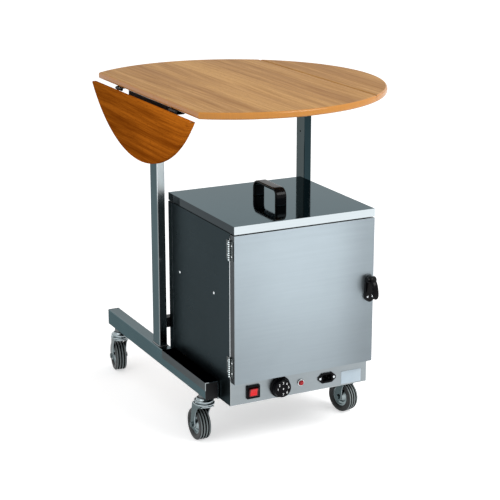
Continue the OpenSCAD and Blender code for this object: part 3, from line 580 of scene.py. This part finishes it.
plains = {
    # Near-black painted shade for the inside of each fork
    "forkInsideShade": dict(colour=(0.006, 0.008, 0.009), rough=0.5, specular=0.2),
    "blackMetal": dict(colour=(0.004, 0.004, 0.005), rough=0.45, dust=0.1, amount=0.06, specular=0.2),
    "capPlastic": dict(colour=(0.003, 0.003, 0.004), rough=0.5, dust=0.08, amount=0.06, specular=0.2),
    "glossBlack": dict(colour=(0.0022, 0.0022, 0.003), rough=0.16, dust=0.02, amount=0.03,
                       bump=0.02, specular=0.09),
    "switchBlack": dict(colour=(0.003, 0.003, 0.004), rough=0.3, dust=0.02, amount=0.04,
                        bump=0.03, specular=0.06),
    "lampRed": dict(colour=(0.36, 0.008, 0.014), rough=0.15, dust=(0.5, 0.1, 0.1), amount=0.05, bump=0.0,
                    coat=0.25, specular=0.2),
    "rubber": dict(colour=(0.006, 0.006, 0.007), rough=0.7, dust=0.08, amount=0.15, specular=0.2),
    "tyreSide": dict(colour=(0.028, 0.031, 0.032), rough=0.5, dust=0.1, amount=0.25, spots=500.0,
                     bump=0.12, specular=0.3),
    "tyreRib": dict(colour=(0.20, 0.235, 0.24), rough=0.5, amount=0.3, spots=500.0, bump=0.12, specular=0.3),
    # Near-black painted shade in the tread's grooves
    "tyreGrooveShade": dict(colour=(0.004, 0.005, 0.005), rough=0.7, dust=0.02, amount=0.1, specular=0.05),
    "dialWhite": dict(colour=(0.85, 0.86, 0.86), rough=0.5, dust=0.6, amount=0.1, bump=0.0),
    "plateSilver": dict(colour=(0.44, 0.53, 0.60), rough=0.35, dust=(0.7, 0.75, 0.78), amount=0.2, bump=0.02),
}

finishes = {
    "topWood": woodMaterial("topWood", wood["topTones"], seamSide=1.0),
    "rightLeafWood": woodMaterial("rightLeafWood", wood["topTones"]),
    "shadedHangingLeafWood": woodMaterial("shadedHangingLeafWood", wood["shadedLeafTones"], contrast=1.3, hanging=True),
    "rockerRed": rockerMaterial("rockerRed"),
    **{name: sheetMaterial(name, **values) for name, values in sheets.items()},
    **{name: plainMaterial(name, **values) for name, values in plains.items()},
}

nodesOf = {
    "topWood": "table_top",
    "shadedHangingLeafWood": "left_leaf",
    "rightLeafWood": "right_leaf",
    "blackMetal": "left_hinge_plates left_hinge_flaps right_hinge_plates right_hinge_flaps left_rail "
                  "right_rail cross_tube",
    "postSteel": "left_post",
    "farPostShadedSteel": "right_post",
    "footSteel": "left_foot right_foot",
    "capPlastic": "foot_caps",
    "bracketSteel": "left_bracket right_bracket",
    "darkZinc": "castor_stems",
    "sideSteel": "box_shell back_panel",
    "lidSteel": "box_lid",
    "panelSteel": "control_panel",
    "doorSteel": "door_skin",
    "linerSteel": "box_liner rack_rails door_liner",
    "glossBlack": "lid_handle latch_base latch_lever",
    "switchBlack": "switch_frame thermostat_knob power_inlet",
    "rubber": "box_feet door_gasket",
    "rockerRed": "switch_rocker",
    "lampRed": "pilot_lamp",
    "innerMetal": "thermostat heater",
    "wireChrome": "wire_shelves",
    "hingeSteel": "door_hinge_leaves door_hinge_flaps",
    "zinc": "door_hinge_pins latch_keeper",
}
nodeFinish = {node: finishName for finishName, nodes in nodesOf.items() for node in nodes.split()}
for corner in corners:
    nodeFinish.update({corner + "_fork": "zinc", corner + "_axle": "forkShadedSteel", corner + "_hub": "hubSteel",
                       corner + "_tyre": "tyreSide"})

for name, node in frame["nodes"].items():
    material = finishes[nodeFinish[name]]
    if not node.material_slots:
        node.data.materials.append(material)
    for holder in node.material_slots:
        holder.material = material
print("finishes ready")


# Mesh helpers: whole arrays, no loop over vertices

def gridFaces(rows, columns, closeRows=False, closeColumns=False):
    # Quads between neighbouring rows and columns, wrapping round where closed
    r = np.arange(rows if closeRows else rows - 1)
    c = np.arange(columns if closeColumns else columns - 1)
    r, c = np.meshgrid(r, c, indexing="ij")
    r2, c2 = (r + 1) % rows, (c + 1) % columns
    return np.stack([r * columns + c, r * columns + c2, r2 * columns + c2, r2 * columns + c], -1).reshape(-1, 4)


def meshPiece(name, points, faces, material, body, slot, share=None, sheetUp=False):
    # Makes the mesh, closes its doubled poles and seams and turns its faces outwards;
    # share gives each face its material where material is a list of them, and sheetUp
    # turns an open sheet so that its highest face looks up
    mesh = bpy.data.meshes.new(name)
    mesh.from_pydata(points.reshape(-1, 3).tolist(), [], faces.tolist())
    for finishName in ([material] if isinstance(material, str) else material):
        mesh.materials.append(finishes[finishName])
    if share is not None:
        mesh.polygons.foreach_set("material_index", share.astype(np.int32))
    work = bmesh.new()
    work.from_mesh(mesh)
    bmesh.ops.remove_doubles(work, verts=work.verts, dist=1e-6)
    bmesh.ops.dissolve_degenerate(work, dist=1e-7, edges=work.edges)
    bmesh.ops.recalc_face_normals(work, faces=work.faces)
    if sheetUp and max(work.faces, key=lambda face: face.calc_center_median().z).normal.z < 0:
        bmesh.ops.reverse_faces(work, faces=work.faces)
    work.to_mesh(mesh)
    work.free()
    mesh.polygons.foreach_set("use_smooth", np.ones(len(mesh.polygons), bool))
    piece = addObject(name, mesh)
    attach(piece, body)
    return piece


def sideways(direction):
    # Two unit vectors square to the direction and to each other
    w = np.array(direction, float) / np.linalg.norm(direction)
    helper = np.array([0.0, 0.0, 1.0]) if abs(w[2]) < 0.9 else np.array([1.0, 0.0, 0.0])
    u = np.cross(helper, w)
    u /= np.linalg.norm(u)
    return u, np.cross(w, u), w


def revolved(profile, steps, place, direction, closed=False):
    # Each profile point (radius r, height h) swept round: place + r cos a u + r sin a v + h w
    u, v, w = sideways(direction)
    profile = np.array(profile, float)
    angle = np.arange(steps) * tau / steps
    r, h = profile[:, 0, None, None], profile[:, 1, None, None]
    ring = np.cos(angle)[None, :, None] * u + np.sin(angle)[None, :, None] * v
    points = np.array(place, float) + r * ring + h * w
    return points, gridFaces(len(profile), steps, closed, True)


def gathered(parts):
    # Several point grids and their faces as one mesh
    points, faces, start = [], [], 0
    for p, f in parts:
        p = p.reshape(-1, 3)
        points.append(p)
        faces.append(f + start)
        start += len(p)
    return np.concatenate(points), np.concatenate(faces)


def archPath(half, height, radius):
    # From one foot up a leg, round a corner, across and down again, as (along, up)
    quarter = np.linspace(0.0, pi / 2, 12)
    leg = np.linspace(0.0, height - radius, 9)[:-1]
    span = np.linspace(-half + radius, half - radius, 10)[1:-1]
    bend = np.stack([-half + radius - radius * np.cos(quarter), height - radius + radius * np.sin(quarter)], -1)
    rise = np.concatenate([np.stack([np.full(len(leg), -half), leg], -1), bend])
    over = np.stack([span, np.full(len(span), height)], -1)
    return np.concatenate([rise, over, (rise * [-1, 1])[::-1]])


def softPower(values, power):
    # The power of the size of each value, with the value's own sign
    return np.sign(values) * np.abs(values) ** power


def screwHead(place, direction, radius, height, turn):
    # Dome: height * (0.35 + 0.65 (1 - s^2.6)) over s = r / radius, less a cross recess
    # where min(|p|, |q|) is under a blade's half width and s under 0.66
    u, v, w = sideways(direction)
    s = np.concatenate([np.linspace(0.0, 1.0, 12), [1.0]])
    angle = np.arange(32) * tau / 32
    s, angle = np.meshgrid(s, angle, indexing="ij")
    p, q = s * np.cos(angle - turn), s * np.sin(angle - turn)
    rise = height * (0.35 + 0.65 * (1.0 - s ** 2.6))
    blade = np.minimum(np.abs(p), np.abs(q))
    recess = np.clip((0.17 - blade) / 0.07, 0.0, 1.0) * np.clip((0.66 - s) / 0.08, 0.0, 1.0)
    rise = rise - recess * height * 0.75
    rise[-1] = -0.0004
    ring = radius * (s * np.cos(angle))[..., None] * u + radius * (s * np.sin(angle))[..., None] * v
    points = np.array(place, float) + ring + rise[..., None] * w
    return points, gridFaces(*s.shape, closeColumns=True)


def roundedOutline(width, height, radius, steps=6):
    # Corner arcs of one radius, in order round a rectangle centred on zero
    quarter = np.linspace(0.0, pi / 2, steps)
    arcs = []
    for corner, (sx, sy) in enumerate(((1, 1), (-1, 1), (-1, -1), (1, -1))):
        a = quarter + corner * pi / 2
        arcs.append(np.stack([sx * (width / 2 - radius) + radius * np.cos(a),
                              sy * (height / 2 - radius) + radius * np.sin(a)], -1))
    return np.concatenate(arcs)


def roundedPlate(place, direction, width, height, radius, thick, edge):
    # Outlines stacked as a profile: base, wall, rounded edge, then shrinking to the middle
    u, v, w = sideways(direction)
    outline = roundedOutline(width, height, radius)
    a = np.linspace(0.0, pi / 2, 4)
    inset = np.concatenate([[min(width, height) / 2 - 1e-5, 0.0], edge * (1.0 - np.cos(a)),
                            [min(width, height) / 2 - 1e-5]])
    lift = np.concatenate([[-0.0003, -0.0003], thick - edge + edge * np.sin(a), [thick]])
    shrink = 1.0 - inset[:, None] / np.array([width / 2, height / 2])
    flat = outline[None] * shrink[:, None, :]
    points = np.array(place, float) + flat[..., :1] * u + flat[..., 1:] * v + lift[:, None, None] * w
    rows, columns = flat.shape[:2]
    return points, gridFaces(rows, columns, closeColumns=True)


def tubeAlong(path, radius, closed=False, wave=0.0, waves=0):
    # A circle carried along the path: path + r (cos a n + sin a b), r rippled along the path
    steps = 10
    tangent = np.gradient(path, axis=0)
    if closed:
        tangent = np.roll(path, -1, 0) - np.roll(path, 1, 0)
    tangent /= np.linalg.norm(tangent, axis=1, keepdims=True)
    helper = np.where(np.abs(tangent[:, 2:]) > 0.9, [[1.0, 0.0, 0.0]], [[0.0, 0.0, 1.0]])
    side = np.cross(helper, tangent)
    side /= np.linalg.norm(side, axis=1, keepdims=True)
    up = np.cross(tangent, side)
    along = np.arange(len(path)) / len(path)
    size = radius * (1.0 + wave * np.sin(along * waves * tau))
    if not closed:
        size[0] = size[-1] = 0.0
    angle = np.arange(steps) * tau / steps
    ring = np.cos(angle)[None, :, None] * side[:, None] + np.sin(angle)[None, :, None] * up[:, None]
    points = path[:, None] + size[:, None, None] * ring
    return points, gridFaces(len(path), steps, closeRows=closed, closeColumns=True)


# Places taken from the frame

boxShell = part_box("box_shell")
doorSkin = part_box("door_skin")
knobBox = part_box("thermostat_knob")
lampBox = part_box("pilot_lamp")
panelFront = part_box("control_panel")[0][1]


def middle(box, axis):
    return (box[0][axis] + box[1][axis]) / 2


# Screws on the box, the door and the frame

screws = {
    "side": (0.0032, 0.0016),       # a head's radius and height
    "back": (0.003, 0.0015),
    "inlet": (0.0029, 0.0013),
    "hinge": (0.0021, 0.0008),
    "latch": (0.0023, 0.0011),
    "top": (0.0032, 0.0014),
    "sideRows": [(-0.080, 0.361), (-0.264, 0.363)],     # y and z on the box's side
    "backColumns": (-0.165, -0.055, 0.055, 0.165),
    "backEnds": (0.135, 0.507),
    "backMiddles": (0.26, 0.385),
    "inletHalfPitch": 0.018,
    "hingeLength": 0.044, "hingeHalfPitch": 0.0123, "hingeOut": 0.0097, "hingeSheet": 0.0012,
    "latchHalfPitch": 0.0065, "latchUp": 0.0125, "latchPad": 0.007,
    "topPlaces": (-0.157, 0.157), "topHalfPitch": 0.0098, "topOut": 0.0131, "topSheet": 0.002,
}


def addScrews(name, body, kind, heads):
    # Each head is its place, the way it faces and the angle that its recess stands at
    parts = [screwHead(place, direction, *screws[kind], turn) for place, direction, turn in heads]
    meshPiece(name, *gathered(parts), "brightScrew", body, "castor_zinc")


addScrews("boxSideScrews", "hot_box", "side",
          [((boxShell[end][0] + s * 0.0001, y, z), (s, 0, 0), turn + y)
           for end, s, turn in ((0, -1, 0.4), (1, 1, 0.9)) for y, z in screws["sideRows"]])

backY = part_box("back_panel")[1][1]
backSpots = [(x, z, x * 9 + z * 5) for x in screws["backColumns"] for z in screws["backEnds"]]
backSpots += [(x, z, z * 7) for x in screws["backColumns"][::3] for z in screws["backMiddles"]]
addScrews("backPanelScrews", "hot_box", "back", [((x, backY, z), (0, 1, 0), turn) for x, z, turn in backSpots])

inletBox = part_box("power_inlet")
addScrews("inletScrews", "hot_box", "inlet",
          [((middle(inletBox, 0) + s * screws["inletHalfPitch"], inletBox[0][1], middle(inletBox, 2)),
            (0, -1, 0), 0.3 + s) for s in (-1, 1)])

hingeBox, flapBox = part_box("door_hinge_leaves"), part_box("door_hinge_flaps")
hingeY = (middle(hingeBox, 1) + middle(flapBox, 1)) / 2
hingeHalf = screws["hingeLength"] / 2
for name, body, side in (("hingeLeafScrews", "hot_box", 1), ("hingeFlapScrews", "door", -1)):
    addScrews(name, body, "hinge",
              [((boxShell[0][0] - screws["hingeSheet"], hingeY + side * screws["hingeOut"],
                 z + s * screws["hingeHalfPitch"]), (-1, 0, 0), z + side * s)
               for z in (hingeBox[0][2] + hingeHalf, hingeBox[1][2] - hingeHalf) for s in (-1, 1)])

latchX, padFront = middle(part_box("latch_lever"), 0), doorSkin[0][1] - screws["latchPad"]
addScrews("latchScrews", "door", "latch",
          [((latchX + s * screws["latchHalfPitch"], padFront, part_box("latch_base")[0][2] + screws["latchUp"]),
            (0, -1, 0), s) for s in (-1, 1)])

topHeads = []
for side, innerEdge, s in (("left", 1, -1), ("right", 0, 1)):
    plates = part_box(side + "_hinge_plates")
    topHeads += [((plates[innerEdge][0] + s * screws["topOut"], y + k * screws["topHalfPitch"],
                   plates[1][2] - screws["topSheet"]), (0, 0, -1), y + k)
                 for y in screws["topPlaces"] for k in (-1, 1)]
addScrews("topHingeScrews", "frame", "top", topHeads)
print("screws ready")


# Controls: dial figures, lamp ring and blank plate

dial = {
    # each figure and its angle round the knob, in degrees
    "figures": [("1", 180.0), ("2", 135.0), ("3", 90.0), ("4", 50.0), ("5", 8.0), ("6", -45.0), ("7", -90.0)],
    "ring": 0.0136,
    "figureHeight": 0.0054,
    "fontShare": 1.4,               # a font's size over its figures' height
    "thick": 0.0001,
    "bolder": 0.00008,
    "lift": 0.00025,
    "dot": [(0, 0), (0.0016, 0), (0.0014, 0.0004), (0, 0.0005)],        # radius and height
}


def flatFigure(text):
    # The figure's outline from Blender's own font, as a thin mesh centred on zero
    curve = bpy.data.curves.new("figureCurve", "FONT")
    curve.body = text
    curve.size = dial["figureHeight"] * dial["fontShare"]
    curve.extrude = dial["thick"]
    curve.offset = dial["bolder"]
    curve.align_x = "CENTER"
    curve.align_y = "CENTER"
    holder = addObject("figureHolder", curve)
    mesh = bpy.data.meshes.new_from_object(holder)
    points = np.empty(len(mesh.vertices) * 3)
    mesh.vertices.foreach_get("co", points)
    faces = [list(face.vertices) for face in mesh.polygons]
    bpy.data.objects.remove(holder)
    return points.reshape(-1, 3), faces


def makeDialFigures():
    # Each figure stands upright at ring (cos a, sin a) on the knob's flat face
    front = knobBox[0][1] - dial["lift"]
    points, faces, start = [], [], 0
    for text, angle in dial["figures"]:
        flat, own = flatFigure(text)
        x = middle(knobBox, 0) + dial["ring"] * np.cos(radians(angle)) + flat[:, 0]
        z = middle(knobBox, 2) + dial["ring"] * np.sin(radians(angle)) + flat[:, 1]
        points.append(np.stack([x, front - flat[:, 2] + dial["thick"], z], -1))
        faces += [[index + start for index in face] for face in own]
        start += len(flat)
    mesh = bpy.data.meshes.new("dialFigures")
    mesh.from_pydata(np.concatenate(points).tolist(), [], faces)
    mesh.materials.append(finishes["dialWhite"])
    piece = addObject("dialFigures", mesh)
    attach(piece, "knob")


makeDialFigures()
knobFront = (middle(knobBox, 0), knobBox[0][1] + 0.0001, middle(knobBox, 2))
meshPiece("dialDot", *revolved(dial["dot"], 24, knobFront, (0, -1, 0)), "dialWhite", "knob", "switch_black")

lampRing = [(0.0060, 0.0), (0.0084, 0.0), (0.0087, 0.0012), (0.0080, 0.0028), (0.0070, 0.0034),
            (0.0062, 0.0032), (0.0060, 0.0)]            # radius and height
lampAt = (middle(lampBox, 0), panelFront, middle(lampBox, 2))
meshPiece("lampRing", *revolved(lampRing, 40, lampAt, (0, -1, 0)), "wireChrome", "hot_box", "leg_chrome")

plate = {"x": (0.1086, 0.161), "z": (0.123, 0.154), "corner": 0.0015, "thick": 0.0007, "edge": 0.0003}
plateAt = (sum(plate["x"]) / 2, panelFront, sum(plate["z"]) / 2)
plateWidth, plateHeight = (plate[axis][1] - plate[axis][0] for axis in "xz")
meshPiece("blankPlate", *roundedPlate(plateAt, (0, -1, 0), plateWidth, plateHeight, plate["corner"],
                                      plate["thick"], plate["edge"]),
          "plateSilver", "hot_box", "door_steel")
print("controls ready")


# Lid handle, latch lever and castors: fuller forms than the plain solids under them

bow = {
    "half": 0.060, "height": 0.039, "width": 0.026,
    "leg": 0.011, "grip": 0.0065,           # thickness of a leg and of the grip
    "outer": 0.021, "inner": 0.007,         # radii of the bends
    "square": 0.32,                         # 1 is an ellipse, 0 a rectangle
}


def makeBowHandle():
    # Between an outer and an inner arch, each station is a squared-off ellipse:
    # centre + half depth * sin^n + half width * cos^n, closed over each foot
    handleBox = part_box("lid_handle")
    outer = archPath(bow["half"], bow["height"], bow["outer"])
    inner = archPath(bow["half"] - bow["leg"], bow["height"] - bow["grip"], bow["inner"])
    angle = np.arange(32) * tau / 32
    centre, depth = (outer + inner) / 2, (outer - inner) / 2
    across = bow["width"] / 2 * softPower(np.cos(angle), bow["square"])
    along = softPower(np.sin(angle), bow["square"])
    flat = centre[:, None] + depth[:, None] * along[None, :, None]
    x = np.broadcast_to(across, flat.shape[:2])
    points = np.stack([x, flat[..., 0] + middle(handleBox, 1), flat[..., 1] + handleBox[0][2]], -1)
    caps = np.broadcast_to(points[[0, -1]].mean(1, keepdims=True), points[[0, -1]].shape)
    points = np.concatenate([caps[:1], points, caps[1:]])
    piece = meshPiece("bowHandle", points, gridFaces(*points.shape[:2], closeColumns=True), "glossBlack",
                      "hot_box", "handle_black")
    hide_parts("lid_handle")


makeBowHandle()

finger = {
    "reach": 0.0209, "drop": 0.042, "start": 0.001,
    "halfWidth": 0.007, "halfThick": 0.0045, "square": 0.6,
    "tip": 0.14,                            # share of the length that rounds off
    "boss": 0.0078, "bossHalf": 0.0070, "chamfer": 0.001,
    "pin": 0.0024, "pinHalf": 0.0105, "shoulder": 0.0002,
}


def makeFingerLever():
    # A curve from the pin out and down, (1-t)^2 a + 2 t (1-t) b + t^2 c, carrying a
    # squared-off ellipse that rounds off at the tip; the boss turns about the pin
    f, pin = finger, np.array(recordJoints["latch_pull"]["pos_m"])
    t = np.linspace(0.0, 1.0, 40)[:, None]
    a, b, c = np.array([[0.0, 0.0], [-f["reach"], f["start"]], [-f["reach"], -f["drop"]]])
    path = (1 - t) ** 2 * a + 2 * t * (1 - t) * b + t ** 2 * c
    tangent = np.gradient(path, axis=0)
    tangent /= np.linalg.norm(tangent, axis=1, keepdims=True)
    out = np.stack([tangent[:, 1], -tangent[:, 0]], -1)
    tip = np.sqrt(np.clip(1.0 - (np.clip(t[:, 0] - 1.0 + f["tip"], 0.0, 1.0) / f["tip"]) ** 2, 0.0, 1.0))
    tip[0] = 0.0
    angle = np.arange(24) * tau / 24
    across = f["halfWidth"] * softPower(np.cos(angle), f["square"])
    thick = f["halfThick"] * softPower(np.sin(angle), f["square"])
    flat = path[:, None] + out[:, None] * (tip[:, None] * thick)[..., None]
    points = np.concatenate([(tip[:, None] * across)[..., None], flat], -1) + pin
    half = np.array([(0, f["pinHalf"]), (f["pin"], f["pinHalf"]), (f["pin"], f["bossHalf"] + f["shoulder"]),
                     (f["boss"] - f["chamfer"], f["bossHalf"]), (f["boss"], f["bossHalf"] - f["chamfer"])])
    profile = np.concatenate([half * [1, -1], half[::-1]])
    lever = (points, gridFaces(*points.shape[:2], closeColumns=True))
    piece = meshPiece("fingerLever", *gathered([lever, revolved(profile, 40, pin, (1, 0, 0))]), "glossBlack",
                      "latch", "handle_black")
    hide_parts("latch_lever")


makeFingerLever()

castor = {
    "legHalf": 0.018, "sheet": 0.0025, "bend": 0.0065, "eye": 0.0105,
    "front": 0.0255, "back": 0.026, "yokeTop": 0.0962, "pinHole": 0.0075,
    "hollow": 0.050, "waist": 0.002,            # the front edge's radius, and how far it comes in
    # Ball race over the yoke, as radius and height; both beads are half rounds
    "bore": 0.0063, "bead": 0.002, "beads": [(0.0230, 0.0022), (0.0210, 0.0090)],
    "groove": [(0.0195, 0.0044), (0.0195, 0.0068)],
    "collar": [(0.0172, 0.0112), (0.0172, 0.0152), (0.0166, 0.0158)],
    "wheel": 0.0375, "tyreHalf": 0.014, "shoulder": 0.0035,
    "grooves": (-0.0070, 0.0, 0.0070), "grooveDepth": 0.0022, "grooveHalf": 0.0017,
    "ribEdge": 0.0022,                          # width of the plain tone at each shoulder
    # The tyre's side from the hub out, as radius and depth below the side's face
    "side": [(0.0241, 0.002), (0.0266, 0.002), (0.0277, 0.0)],
}


def castorAxes(corner):
    # Where the castor stands on the floor, its axes across and along the trail, the
    # trail's length and the wheel's middle
    swivel = np.array(recordJoints[corner + "_swivel"]["pos_m"])
    wheel = np.array(recordJoints[corner + "_roll"]["pos_m"])
    reach = (wheel - swivel) * [1, 1, 0]
    trail = np.linalg.norm(reach)
    along = reach / trail
    across = np.cross(along, [0, 0, 1])
    return swivel * [1, 1, 0], across, along, trail, wheel


def makeFork(corner):
    # A sheet bent over the wheel: down one leg, over the yoke and down the other. At
    # each height it runs from the hollow front edge to the back edge; below the axle
    # both follow the eye's circle, trail -+ sqrt(eye^2 - drop^2)
    origin, across, along, trail, wheel = castorAxes(corner)
    c, axleZ, eye = castor, castor["wheel"], castor["eye"]
    low = axleZ - eye
    legZ = np.concatenate([low + eye * (1 - np.cos(np.linspace(0, pi / 2, 10))),
                           np.linspace(axleZ, c["yokeTop"] - c["bend"], 22)[1:]])
    turn = np.linspace(0, pi / 2, 8)[1:]
    bendX = -c["legHalf"] + c["bend"] * (1 - np.cos(turn))
    bendZ = c["yokeTop"] - c["bend"] + c["bend"] * np.sin(turn)
    midX = np.linspace(-c["legHalf"] + c["bend"], 0.0, 9)[1:]
    x = np.concatenate([np.full(len(legZ), -c["legHalf"]), bendX, midX])
    z = np.concatenate([legZ, bendZ, np.full(len(midX), c["yokeTop"])])
    x, z = np.concatenate([x, -x[-2::-1]]), np.concatenate([z, z[-2::-1]])
    drop = np.clip(axleZ - z, 0.0, eye)
    half = np.sqrt(np.clip(eye ** 2 - drop ** 2, 0.0, None))
    share = np.clip((z - axleZ) / (c["yokeTop"] - axleZ), 0.0, 1.0)
    back = trail + half + share * (c["back"] - trail - eye)
    waistY, waistZ = trail - eye - c["waist"], axleZ + eye
    rise = np.clip(z - waistZ, 0.0, c["hollow"] * 0.96)
    hollow = waistY - c["hollow"] + np.sqrt(c["hollow"] ** 2 - rise ** 2)
    lean = np.clip((z - axleZ) / eye, 0.0, 1.0) * c["waist"]
    front = np.where(z < waistZ, trail - half - lean, hollow)
    crown = -np.sqrt(np.clip(c["front"] ** 2 - x ** 2, 0.0, None))
    front = np.where(z > c["yokeTop"] - c["bend"] * 0.6, np.minimum(front, crown), front)
    v = np.linspace(0.0, 1.0, 24)
    y = front[:, None] + (back - front)[:, None] * v
    x, z = np.broadcast_to(x[:, None], y.shape), np.broadcast_to(z[:, None], y.shape)
    points = origin + x[..., None] * across + y[..., None] * along + z[..., None] * [0, 0, 1]
    faces = gridFaces(*y.shape)
    middleX, middleY = x.reshape(-1)[faces].mean(1), y.reshape(-1)[faces].mean(1)
    solid = (np.hypot(middleX, middleY) > c["pinHole"]) | (z.reshape(-1)[faces].mean(1) < c["yokeTop"] - 0.001)
    # Painted light and shade on the fork sheet: its outside is darkened steel, its inside near-black and its
    # cut edges a lighter zinc as a painted highlight
    piece = meshPiece(corner + "_forkSheet", points, faces[solid], ["forkShadedSteel", "forkInsideShade", "raceZinc"],
                      corner + "_castor", "castor_zinc", sheetUp=True)
    wall = piece.modifiers.new("wall", "SOLIDIFY")
    wall.thickness = c["sheet"]
    wall.offset = -1.0
    wall.material_offset = 1
    wall.material_offset_rim = 2
    wall.use_even_offset = True
    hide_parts(corner + "_fork")


def makeRace(corner):
    # From the bore out over the lower bead, the groove, the upper bead and the collar
    c, ring = castor, np.linspace(-pi / 2, pi / 2, 9)
    lower, upper = (bead + c["bead"] * np.stack([np.cos(ring), np.sin(ring)], -1) for bead in c["beads"])
    foot, top = (c["bore"], lower[0][1]), (c["bore"], c["collar"][-1][1])
    profile = np.concatenate([[foot], lower, c["groove"], upper, c["collar"], [top]])
    seat = castorAxes(corner)[0] + [0, 0, c["yokeTop"]]
    meshPiece(corner + "_ballRace", *revolved(profile, 64, seat, (0, 0, 1), True), "raceZinc",
              corner + "_castor", "castor_zinc")


def makeTyre(corner):
    # Radius over the width: wheel - shoulder rounding - a half round for each groove
    across, wheel = castorAxes(corner)[1::3]
    c, w, steps = castor, castor["tyreHalf"], 96
    h = np.linspace(-w, w, 85)
    edge = np.clip((np.abs(h) - w + c["shoulder"]) / c["shoulder"], 0.0, 1.0)
    r = c["wheel"] - c["shoulder"] * (1.0 - np.sqrt(1.0 - edge ** 2))
    dip = np.zeros_like(h)
    for place in c["grooves"]:
        dip = np.maximum(dip, np.sqrt(np.clip(1.0 - ((h - place) / c["grooveHalf"]) ** 2, 0.0, 1.0)))
    tread = np.stack([r - c["grooveDepth"] * dip, h], -1)
    side = np.array(c["side"]) + [0, -w]
    profile = np.concatenate([side, tread, (side * [1, -1])[::-1]])
    points, faces = revolved(profile, steps, wheel, across, True)
    tone = np.zeros(len(profile))
    # Shoulders keep the side's tone, ribs the tread's, and the grooves take near-black painted shade
    tone[len(side):len(side) + len(h)] = np.where(np.abs(h) < w - c["ribEdge"], np.where(dip > 0.15, 2, 1), 0)
    piece = meshPiece(corner + "_ribbedTyre", points, faces, ["tyreSide", "tyreRib", "tyreGrooveShade"],
                      corner + "_wheel", "tyre_grey", share=tone[faces[:, 0] // steps])
    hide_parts(corner + "_tyre")


for corner in corners:
    makeFork(corner)
    makeRace(corner)
    makeTyre(corner)
print("castors ready")


# Painted highlight along the door joint, and welds

trim = {
    "beadRadius": 0.0009, "beadPoints": 24, "underLid": 0.022,
    "weldRadius": 0.0019, "weldCorner": 0.002, "weldLift": 0.0003, "ripple": 0.12, "ripples": 60,
}

# A thin bright bead down the door joint, a painted highlight for the light that the box's front edge catches
# there
bead = np.empty((trim["beadPoints"], 3))
bead[:, :2] = np.array(boxShell[0][:2]) + 0.0001
bead[:, 2] = np.linspace(doorSkin[0][2], boxShell[1][2] - trim["underLid"], trim["beadPoints"])
meshPiece("doorJointHighlight", *tubeAlong(bead, trim["beadRadius"]), "brightScrew", "hot_box", "shell_steel")

welds = []
for side in ("left", "right"):
    post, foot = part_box(side + "_post"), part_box(side + "_foot")
    outline = roundedOutline(post[1][0] - post[0][0], post[1][1] - post[0][1], trim["weldCorner"], 5)
    path = np.linspace(outline, np.roll(outline, -1, 0), 12, endpoint=False).swapaxes(0, 1).reshape(-1, 2)
    keep = np.concatenate([[True], np.linalg.norm(np.diff(path, axis=0), axis=1) > 1e-6])
    path = path[keep]
    path = np.column_stack([path + [middle(post, 0), middle(post, 1)],
                            np.full(len(path), foot[1][2] + trim["weldLift"])])
    welds.append(tubeAlong(path, trim["weldRadius"], True, trim["ripple"], trim["ripples"]))
meshPiece("postWelds", *gathered(welds), "darkZinc", "frame", "leg_chrome")
print("trim ready")
